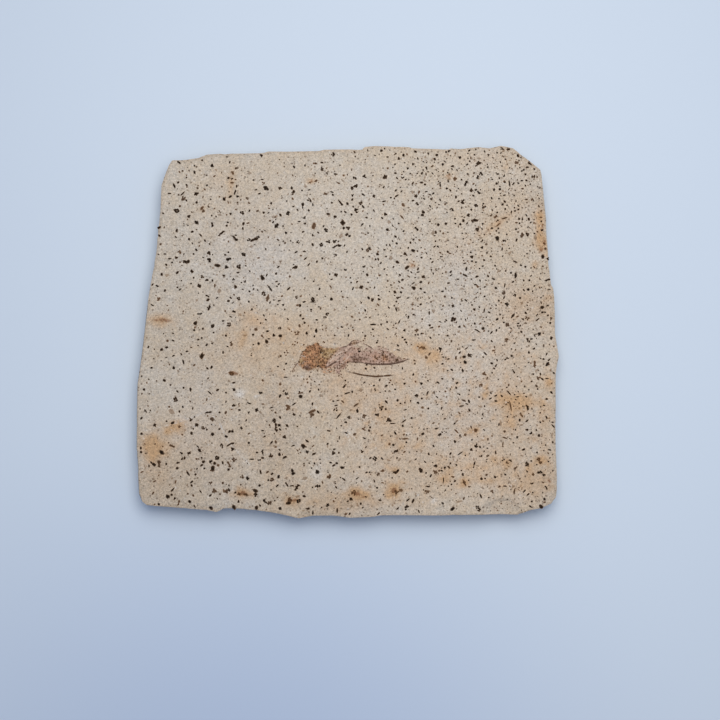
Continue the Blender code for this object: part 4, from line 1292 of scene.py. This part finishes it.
def leg_mesh():
    """The loose leg: an oval section carried along its path, narrower towards both ends
    and at a small break, closed by a point at each end."""
    remains = bpy.context.scene.fossil_remains
    path = smooth_path(LOOSE_LEG, LEG_STEPS)
    along = np.gradient(path, axis=0)
    along = along / np.linalg.norm(along, axis=1, keepdims=True)
    across = np.column_stack([-along[:, 1], along[:, 0]])
    x = path[:, 0]
    gap = np.exp(-((x - LEG_BREAK) / LEG_BREAK_HALF) ** 2)
    worn = ease(-1.0, -0.1, x) * (0.42 + 0.58 * ease(0.4, 3.0, x)) * (1.0 - 0.75 * ease(9.0, 10.3, x))
    half = remains.leg_width / MM / 2.0 * (0.5 + 0.5 * worn) * (1.0 - 0.6 * gap)
    half = half * (1.0 + 0.18 * lattice_noise(x, 0.0 * x, 0.5, 44))
    half[[0, -1]] *= 0.1
    angle = np.arange(LEG_SIDES) / LEG_SIDES * TAU
    side, up = np.cos(angle), np.sin(angle)
    flat = path[:, None] + across[:, None] * (half[:, None] * side)[..., None]
    base = face_height(path[:, 0], path[:, 1])
    lift = 0.02 + 0.055 * worn - 0.09 * gap
    z = base[:, None] + lift[:, None] * 0.6 + up * (0.03 + 0.05 * worn)[:, None]
    points = np.dstack([flat, z]).reshape(-1, 3)
    index = np.arange(len(points)).reshape(len(path), LEG_SIDES)
    around = np.column_stack([index, index[:, 0]])
    quads = grid_quads(around)[:, ::-1]
    caps = np.array([index[0], index[-1][::-1]])
    u, v = np.meshgrid(np.linspace(0.01, 0.99, len(path)), np.linspace(0.05, 0.8, LEG_SIDES + 1),
                       indexing="ij")
    flat_uv = np.dstack([u, v]).reshape(-1, 2)
    uv_quads = grid_quads(np.arange(len(flat_uv)).reshape(u.shape))[:, ::-1]
    cap_uv = 0.9 + 0.05 * np.column_stack([side, up])
    values = stains(points[:, 0], points[:, 1])
    cover = np.repeat(0.05 + 1.05 * worn - 0.8 * gap, LEG_SIDES)
    values["cover"] = cover
    return points, (quads, caps), [flat_uv[uv_quads], cap_uv, cap_uv], values


class FOSSIL_OT_loose_leg(bpy.types.Operator):
    """Builds the thin leg that lies by itself below the body"""
    bl_idname = "fossil.loose_leg"
    bl_label = "Loose leg"

    def execute(self, context):
        material = leg_material(shared_limestone(), context.scene.fossil_remains)
        leg = new_piece("loose_leg_film", material, *leg_mesh())
        join_on(leg, "dark_remains", "loose_leg")
        return {"FINISHED"}


# ---- Mineral grains ----

FACE_LENGTH = 95.2
FACE_WIDTH = 84.8
SHOULDER = 0.68  # size of a grain's shoulder, as a share of its rim
GRAIN_SINK = 0.02  # how far a grain's rim lies in the stone
GRAIN_ROOT = 0.06  # how far the point under it goes in
RIM_CLEAR, INSECT_CLEAR, LEG_CLEAR = 0.25, 0.35, 0.5  # gaps kept by the random grains
LISTED_MIDDLE, LISTED_HALF = (1.2, -6.7), (15.8, 6.2)  # the patch whose grains are all listed
SIDE_LEAST_HEIGHT = 0.5  # this keeps the side grains above the floor
SIDE_HALF = (47.9, 42.7)  # the side grains stay inside this half size of the slab

# A kind of grain: half width in mm, spread of its logarithm, how far grains are drawn out,
# depth and possible numbers of the lobes of the outline, and points round it.
Kind = namedtuple("Kind", "size spread stretch depth lobes rim")
LUMP = Kind(0.36, 0.22, 0.18, 0.20, (2, 3, 4), 11)
BROWN_LUMP = Kind(0.35, 0.2, 0.25, 0.2, (2, 3, 4), 11)
SMALL = Kind(0.23, 0.15, 0.25, 0.15, (2, 3), 8)
DOT = Kind(0.222, 0.34, 0.2, 0.1, (2, 3), 7)
BROWN_DOT = Kind(0.20, 0.3, 0.2, 0.1, (2, 3), 7)
SIDE_DOT = Kind(0.21, 0.35, 0.25, 0.15, (2, 3), 7)
GHOST = Kind(0.28, 0.3, 0.3, 0.3, (2, 3, 4), 9)
SMALL_GHOST = Kind(0.15, 0.3, 0.3, 0.1, (2, 3), 6)
# Kinds whose size is given for each grain, as a factor.
MEASURED = Kind(1.0, 0.05, 0.2, 0.15, (2, 3), 8)
IN_CLUSTER = Kind(1.0, 0.20, 0.25, 0.12, (2, 3), 7)
BAR = Kind(1.0, 0.1, 0.0, 0.06, (2, 3), 12)


def surface_height(x, y):
    """The face, or the film where the insect lies on it."""
    return face_height(x, y) + np.where(film_depth(x, y) > 0.0, film_relief(x, y), 0.0)


def grain_shells(place, normal, shape, rim):
    """Low closed grains. The outline is r = size (1 + depth cos(lobes a + phase) + noise),
    drawn out by stretch and turned. A sunk rim, a shoulder and a middle point make the
    top, and one point below closes it."""
    count = len(place)
    size, stretch, turn, lobes, depth, phase, seed = shape
    angle = np.arange(rim) / rim * TAU
    random = np.random.default_rng(seed)
    ragged = random.uniform(-0.16, 0.16, (count, rim))
    wave = depth[:, None] * np.cos(lobes[:, None] * angle + phase[:, None])
    radius = size[:, None] * (1.0 + wave + ragged)
    a = radius * np.cos(angle) * stretch[:, None]
    b = radius * np.sin(angle) / stretch[:, None]
    c, s = np.cos(turn)[:, None], np.sin(turn)[:, None]
    flat = np.stack([a * c - b * s, a * s + b * c], axis=-1)

    side = np.cross((0.0, 1.0, 0.0), normal)
    short = np.linalg.norm(side, axis=1, keepdims=True) < 0.5
    side = np.where(short, (1.0, 0.0, 0.0), side)
    side = side / np.linalg.norm(side, axis=1, keepdims=True)
    other = np.cross(normal, side)
    tall = np.minimum(0.11, 0.22 * size)

    def ring(scale, height):
        spread = flat[..., :1] * scale * side[:, None] + flat[..., 1:] * scale * other[:, None]
        return place[:, None] + spread + height[:, None, None] * normal[:, None]

    middle = place + tall[:, None] * normal
    below = place - GRAIN_ROOT * normal
    points = np.concatenate([ring(1.0, np.full(count, -GRAIN_SINK)), ring(SHOULDER, 0.8 * tall),
                             middle[:, None], below[:, None]], axis=1)
    k = np.arange(rim)
    m = (k + 1) % rim
    fan = np.concatenate([
        np.stack([k, m, rim + m], axis=1), np.stack([k, rim + m, rim + k], axis=1),
        np.stack([rim + k, rim + m, np.full(rim, 2 * rim)], axis=1),
        np.stack([m, k, np.full(rim, 2 * rim + 1)], axis=1),
    ])
    triangles = (fan[None] + (np.arange(count) * (2 * rim + 2))[:, None, None]).reshape(-1, 3)
    edge = np.concatenate([np.ones(rim), np.full(rim, 0.35), [0.0, 1.0]])
    spread = np.concatenate([flat, flat * SHOULDER, np.zeros((count, 2, 2))], axis=1)
    spread[:, -1] = flat[:, 0] * 1.2
    return points.reshape(-1, 3), triangles, np.tile(edge, count), spread.reshape(-1, 2)


def grain_piece(name, groups, material):
    """Joins groups of grains in one mesh, with one square of the UV map for each grain."""
    points, faces, edges, tones, uvs = [], [], [], [], []
    total = sum(len(group["place"]) for group in groups)
    across = int(math.ceil(math.sqrt(total)))
    offset = first = 0
    for group in groups:
        count = len(group["place"])
        p, t, edge, spread = grain_shells(group["place"], group["normal"], group["shape"],
                                          group["rim"])
        width = np.repeat(group["shape"][0] * 2.9 * group["shape"][1].clip(1.0), len(p) // count)
        cell = np.repeat(np.arange(count) + first, len(p) // count)
        middle = np.column_stack([cell % across, cell // across]) + 0.5
        uvs.append((middle + 0.8 * (spread / width[:, None]).clip(-0.5, 0.5)) / across)
        points.append(p)
        faces.append(t + offset)
        edges.append(edge)
        tones.append(np.repeat(group["tone"], len(p) // count))
        offset += len(p)
        first += count
    points, uv, faces = np.vstack(points), np.vstack(uvs), np.vstack(faces)
    values = stains(points[:, 0], points[:, 1])
    values.update(edge=np.concatenate(edges), tone=np.concatenate(tones))
    join_on(new_piece(name, material, points, (faces,), [uv[faces]], values, False), "mineral_specks")


def scattered(count, density, seed):
    """About count places, one anywhere in each square of a lattice over the face, kept
    where a draw is below the density there."""
    random = np.random.default_rng(seed)
    coarse = np.meshgrid(np.linspace(-47.0, 47.0, 60), np.linspace(-42.0, 42.0, 54))
    cell = math.sqrt(FACE_LENGTH * FACE_WIDTH * density(*coarse).mean() / count)
    x, y = np.meshgrid(np.arange(-FACE_LENGTH / 2.0, FACE_LENGTH / 2.0, cell),
                       np.arange(-FACE_WIDTH / 2.0, FACE_WIDTH / 2.0, cell))
    x, y = (side.ravel() + cell * random.uniform(0.0, 1.0, side.size) for side in (x, y))
    kept = random.uniform(0.0, 1.0, len(x)) < density(x, y)
    return x[kept], y[kept]


def apart(x, y, places, gap):
    """True where none of these places lies within the gap."""
    return ((x[:, None] - places[:, 0]) ** 2 + (y[:, None] - places[:, 1]) ** 2).min(axis=1) > gap ** 2


def on_stone(x, y, outline):
    """True inside the slab's rim and off the insect and its loose leg."""
    clear = (film_depth(x, y) < -INSECT_CLEAR) & (distance_to(x, y, LOOSE_LEG) > LEG_CLEAR)
    return clear & (depth_inside(x, y, outline) > RIM_CLEAR)


def away_from_insect(x, y):
    """True outside the patch of face round the insect, whose grains are all listed."""
    (mx, my), (half_x, half_y) = LISTED_MIDDLE, LISTED_HALF
    return (np.abs(x - mx) > half_x) | (np.abs(y - my) > half_y)


def shape_of(random, count, kind, seed, factor=1.0):
    """Random sizes and outlines for grains of a kind: log-normal sizes, even turns."""
    sizes = kind.size * factor * np.exp(kind.spread * random.normal(size=count))
    stretches = 1.0 + np.abs(random.normal(0.0, 1.0, count)) * kind.stretch
    return [sizes, stretches, random.uniform(0.0, TAU, count),
            random.choice(kind.lobes, count).astype(float),
            kind.depth * random.uniform(0.6, 1.2, count), random.uniform(0.0, TAU, count), seed]


def group_of(place, normal, shape, kind, tone):
    return {"place": place, "normal": normal, "shape": shape, "rim": kind.rim, "tone": tone}


def face_group(x, y, shape, kind, tone):
    place = np.column_stack([x, y, surface_height(x, y)])
    normal = np.tile((0.0, 0.0, 1.0), (len(x), 1))
    return group_of(place, normal, shape, kind, tone)


def crowd(x, y):
    """How thickly the small grains lie: thin at the left, thick at the right and back."""
    right = ease(-12.0, 34.0, x)
    back = ease(-20.0, 30.0, y)
    clumps = 0.5 + 0.5 * layered_noise(x, y, 7.0, 2, 101)
    return (0.16 + 0.62 * right * (0.6 + 0.4 * back)) * (0.45 + 0.9 * clumps)


def coarseness(x, y):
    """Size of the grains: largest at the front left, smallest at the back right."""
    front_right = ease(0.0, 20.0, x) * ease(-10.0, -28.0, y)
    return 1.05 - 0.16 * ease(-25.0, 30.0, x + 0.4 * y) - 0.08 * front_right


def even(x, y):
    """How thickly the clusters lie: in loose clumps, thinner at the left."""
    clumps = 0.35 + 0.5 * ease(-0.6, 0.8, layered_noise(x, y, 9.0, 2, 103))
    return clumps * (0.35 + 0.65 * ease(-24.0, -4.0, x))


def clusters(x, y, width, random):
    """Each place split into three to five: round a ring, or along a short row."""
    count, most = len(x), 5
    number = random.integers(3, most + 1, count)[:, None]
    k = np.arange(most)[None]
    start = random.uniform(0.0, TAU, count)[:, None]
    ring = start + TAU * k / number + random.normal(0.0, 0.25, (count, most))
    reach_out = width[:, None] * random.uniform(0.55, 1.05, (count, most))
    reach_out = np.where((k == 0) & (random.uniform(size=(count, 1)) < 0.5), 0.1, reach_out)
    row = random.uniform(size=(count, 1)) < 0.25
    step = (k - (number - 1) / 2.0) * 0.75 * width[:, None]
    px = x[:, None] + np.where(row, step * np.cos(start), reach_out * np.cos(ring))
    py = y[:, None] + np.where(row, step * np.sin(start), reach_out * np.sin(ring))
    kept = np.broadcast_to(k < number, px.shape)
    return px[kept], py[kept], np.repeat(np.arange(count), number[:, 0])


def bars(rows, seed, random):
    """Places of long grains and the shape that gives each its turn and length."""
    x, y, turn, long = np.array([(*row, SHORT_BAR)[:4] for row in rows], float).T
    shape = shape_of(random, len(x), BAR, seed)
    half, thick = long / 2.0 - 0.04, random.uniform(0.17, 0.25, len(x))
    shape[:3] = np.sqrt(half * thick), np.sqrt(half / thick), np.radians(turn)
    return x, y, shape


def side_group(count, seed, random):
    """Grains on the broken side, at points of the stone's own mesh."""
    mesh = bpy.data.objects["stone_slab"].data
    place, normal = column(mesh.vertices, "co", 3) / MM, column(mesh.vertices, "normal", 3)
    broken = column(mesh.attributes["broken"].data, "value", 1)[:, 0]
    inside = (np.abs(place[:, :2]) < SIDE_HALF).all(axis=1) & (place[:, 2] > SIDE_LEAST_HEIGHT)
    usable = np.flatnonzero((broken > 0.35) & (np.abs(normal[:, 2]) < 0.5) & inside)
    picked = random.choice(usable, count, replace=False)
    return group_of(place[picked] - 0.015 * normal[picked], normal[picked],
                    shape_of(random, count, SIDE_DOT, seed), SIDE_DOT, random.uniform(0.0, 1.0, count))


class FOSSIL_OT_mineral_grains(bpy.types.Operator):
    """Builds the black, brown and half-buried mineral grains of the face and sides"""
    bl_idname = "fossil.mineral_grains"
    bl_label = "Mineral grains"

    def execute(self, context):
        grains = context.scene.fossil_grains
        angles = np.linspace(-math.pi, math.pi, 361)[:-1]
        radius = reach(cad_triangles("limestone_slab"), THICKNESS - CAD_GAP, angles)
        outline = tuple(zip((radius * np.cos(angles)).tolist(), (radius * np.sin(angles)).tolist()))
        listed = (LUMPS_AT, BROWN_LUMPS_AT, CLUSTERS_AT, BROWN_CLUSTERS_AT, SMALL_AT, BARS_AT,
                  BROWN_BARS_AT)
        bold = np.array([row[:2] for rows in listed for row in rows])
        random = np.random.default_rng(200)

        def on_face(count, density, seed, gap=1.0):
            x, y = scattered(count, density, seed)
            kept = on_stone(x, y, outline) & ((gap < 0.6) | away_from_insect(x, y))
            kept[kept] = apart(x[kept], y[kept], bold, gap)
            return np.stack([x[kept], y[kept]], axis=1)

        def heap(places, kind, tones, seed):
            x, y = np.array(places).T
            shape = shape_of(random, len(x), kind, seed, coarseness(x, y))
            return face_group(x, y, shape, kind, random.uniform(*tones, len(x)))

        def cluster_heap(places, tones, seed):
            x, y = np.array(places).T
            width = random.uniform(0.25, 0.44, len(x)) * coarseness(x, y)
            x, y, owner = clusters(x, y, width, random)
            shape = shape_of(random, len(x), IN_CLUSTER, seed)
            shape[0] = shape[0] * (0.11 + 0.48 * width[owner])
            return face_group(x, y, shape, IN_CLUSTER, random.uniform(*tones, len(width))[owner])

        def bar_heap(rows, tones, seed):
            x, y, shape = bars(rows, seed, random)
            return face_group(x, y, shape, BAR, random.uniform(*tones, len(x)))

        def short_bars(count, seed):
            places = on_face(count, crowd, seed)
            turn = random.uniform(0.0, 180.0, len(places))
            return np.column_stack([places, turn, random.uniform(0.65, 1.15, len(places))])

        def measured_heap(rows, tones, seed):
            x, y, half = np.array(rows).T
            group = heap(np.stack([x, y], axis=1), MEASURED, tones, seed)
            group["shape"][0] = 1.12 * half
            return group

        black = [
            heap(LUMPS_AT, LUMP, (0.0, 0.6), 201),
            cluster_heap(CLUSTERS_AT, (0.0, 0.7), 202),
            bar_heap(BARS_AT, (0.0, 0.7), 203),
            heap(on_face(grains.dots, crowd, 204, 0.7), DOT, (0.0, 0.65), 205),
            cluster_heap(on_face(grains.clusters, even, 206), (0.0, 0.8), 207),
            bar_heap(short_bars(grains.bars, 208), (0.0, 0.8), 209),
            side_group(grains.side_dots, 210, random),
            measured_heap(BLACK_BY_INSECT, (0.0, 0.5), 220),
        ]
        brown = [
            heap(BROWN_LUMPS_AT, BROWN_LUMP, (0.2, 0.8), 211),
            cluster_heap(BROWN_CLUSTERS_AT, (0.1, 0.7), 212),
            bar_heap(BROWN_BARS_AT, (0.1, 0.8), 213),
            heap(SMALL_AT, SMALL, (0.0, 0.7), 226),
            heap(on_face(grains.dots // 2, crowd, 214, 0.7), BROWN_DOT, (0.2, 1.0), 215),
            cluster_heap(on_face(grains.clusters // 2, even, 216), (0.2, 0.9), 217),
            bar_heap(short_bars(grains.bars // 2, 218), (0.1, 0.9), 219),
        ]
        insect = [measured_heap(BROWN_BY_INSECT, (0.0, 1.0), 225)]
        veiled = [
            heap(on_face(grains.ghosts, even, 221), GHOST, (0.3, 1.0), 222),
            heap(on_face(4 * grains.ghosts, crowd, 223, 0.5), SMALL_GHOST, (0.3, 1.0), 224),
        ]
        group = shared_limestone()
        for name, groups, material, core, rim, veil in (
                ("mineral_grains", black, "mineral_specks", grains.black, grains.brown, 0.0),
                ("brown_grains", brown, "brown_specks", grains.iron, grains.tan, 0.05),
                ("insect_grains", insect, "insect_specks", grains.iron, grains.tan, 0.0),
                ("veiled_grains", veiled, "veiled_specks", grains.brown, grains.brown, 0.45)):
            grain_piece(name, groups, grain_material(group, material, core, rim, veil))
        return {"FINISHED"}


# ---- Stage ----

SENSOR = 36.0  # width of the camera's sensor, in mm
NEAR_CLIP = 0.01  # in metres
# Soft lamps near overhead: name, place in metres, power in watts.
LAMPS = (
    ("back_lamp", (0.015, 0.120, 0.310), 0.445),
    ("near_lamp", (0.045, 0.020, 0.310), 0.388),
)
LAMP_AIM = (0.02, 0.02, 0.0)
LAMP_WIDTH = 0.26
PAINTED_SHADE_MIDDLE = (-22.0, -114.0, 0.0)  # middle of the painted shadow on the floor, a darker, bluer patch at its front, in mm
PAINTED_SHADE_FADE = (10.0, 112.0)  # where that patch starts and ends to fade, in mm
FLOOR_REACH = 2500.0
FLOOR_BELOW = 0.02  # the gap that keeps the floor clear of the slab


def floor_piece(stage):
    """A wide flat floor, a grid in two parameters, with a painted shadow in a soft patch at its front."""
    edge = np.linspace(-FLOOR_REACH, FLOOR_REACH, 9)
    x, y = np.meshgrid(edge, edge, indexing="ij")
    points = np.column_stack([x.ravel(), y.ravel(), np.full(x.size, -FLOOR_BELOW)])
    quads = grid_quads(np.arange(x.size).reshape(x.shape))
    uv = points[:, :2] / (2.0 * FLOOR_REACH) + 0.5
    material, n, _ = new_material("pale_floor")
    place = n.place()
    # Painted shadow: the floor fades to the darker, bluer colour round the middle of that patch.
    away = n.add("ShaderNodeVectorMath", {0: place, 1: PAINTED_SHADE_MIDDLE}, operation="DISTANCE")["Value"]
    shade = n.mix(n.ease(*PAINTED_SHADE_FADE, away), stage.painted_shade_floor, stage.floor)
    shade = n.brighten(shade, n.noise(place, 0.004, 2.0) * 0.04 + 0.98)
    n.feed(material.node_tree.nodes["Principled BSDF"], {
        "Base Color": shade, "Roughness": 0.95, "Specular IOR Level": 0.2})
    floor = new_piece("floor", material, points, (quads,), [uv[quads]])


def area_light(name, place, target, size, power, tint):
    light = bpy.data.lights.new(name, "AREA")
    light.shape = "DISK"
    light.size = size
    light.energy = power
    light.color = tint
    lamp = bpy.data.objects.new(name, light)
    lamp.location = place
    lamp.rotation_euler = (Vector(target) - Vector(place)).to_track_quat("-Z", "Y").to_euler()
    bpy.context.scene.collection.objects.link(lamp)


class FOSSIL_OT_stage(bpy.types.Operator):
    """Adds the camera, the pale floor and the soft light"""
    bl_idname = "fossil.stage"
    bl_label = "Stage"

    def execute(self, context):
        scene = context.scene
        stage = scene.fossil_stage
        floor_piece(stage)
        for name, place, power in LAMPS:
            area_light(name, place, LAMP_AIM, LAMP_WIDTH, power, stage.lamp)
        world = bpy.data.worlds.new("sky")
        world.use_nodes = True
        background = world.node_tree.nodes["Background"]
        background.inputs["Color"].default_value = (*stage.sky, 1.0)
        background.inputs["Strength"].default_value = 1.0
        scene.world = world

        camera = bpy.data.cameras.new("camera")
        camera.sensor_width = SENSOR
        camera.lens = SENSOR * stage.distance / stage.view_width
        camera.clip_start = NEAR_CLIP
        eye = bpy.data.objects.new("camera", camera)
        back = Vector((0.0, -math.sin(stage.tilt), math.cos(stage.tilt)))
        eye.location = Vector((*VIEW_MIDDLE, THICKNESS)) * MM + stage.distance * back
        eye.rotation_euler = (stage.tilt, 0.0, 0.0)
        scene.collection.objects.link(eye)
        scene.camera = eye
        scene.view_settings.view_transform = "Standard"
        return {"FINISHED"}


# ---- Panel and registration ----

STEPS = (
    ("fossil.stone_slab", "fossil_slab"),
    ("fossil.insect", "fossil_remains"),
    ("fossil.loose_leg", None),
    ("fossil.mineral_grains", "fossil_grains"),
    ("fossil.stage", "fossil_stage"),
)


class FOSSIL_PT_panel(bpy.types.Panel):
    """Lists the steps with the sizes and colours that each one reads"""
    bl_label = "Fossil grasshopper"
    bl_space_type = "VIEW_3D"
    bl_region_type = "UI"
    bl_category = "Fossil"

    def draw(self, context):
        for operator, group in STEPS:
            box = self.layout.box()
            box.operator(operator)
            if group:
                settings = getattr(context.scene, group)
                for name in settings.__annotations__:
                    box.prop(settings, name)


SETTINGS = {
    "fossil_slab": SlabSettings,
    "fossil_remains": RemainsSettings,
    "fossil_grains": GrainSettings,
    "fossil_stage": StageSettings,
}
CLASSES = (
    *SETTINGS.values(), FOSSIL_OT_stone_slab, FOSSIL_OT_insect, FOSSIL_OT_loose_leg,
    FOSSIL_OT_mineral_grains, FOSSIL_OT_stage, FOSSIL_PT_panel,
)


def register():
    for cls in CLASSES:
        bpy.utils.register_class(cls)
    for name, cls in SETTINGS.items():
        setattr(bpy.types.Scene, name, bpy.props.PointerProperty(type=cls))


def unregister():
    for name in SETTINGS:
        delattr(bpy.types.Scene, name)
    for cls in reversed(CLASSES):
        bpy.utils.unregister_class(cls)


def main():
    register()
    bpy.ops.fossil.stone_slab()
    bpy.ops.fossil.insect()
    bpy.ops.fossil.loose_leg()
    bpy.ops.fossil.mineral_grains()
    bpy.ops.fossil.stage()


if __name__ == "__main__":
    main()
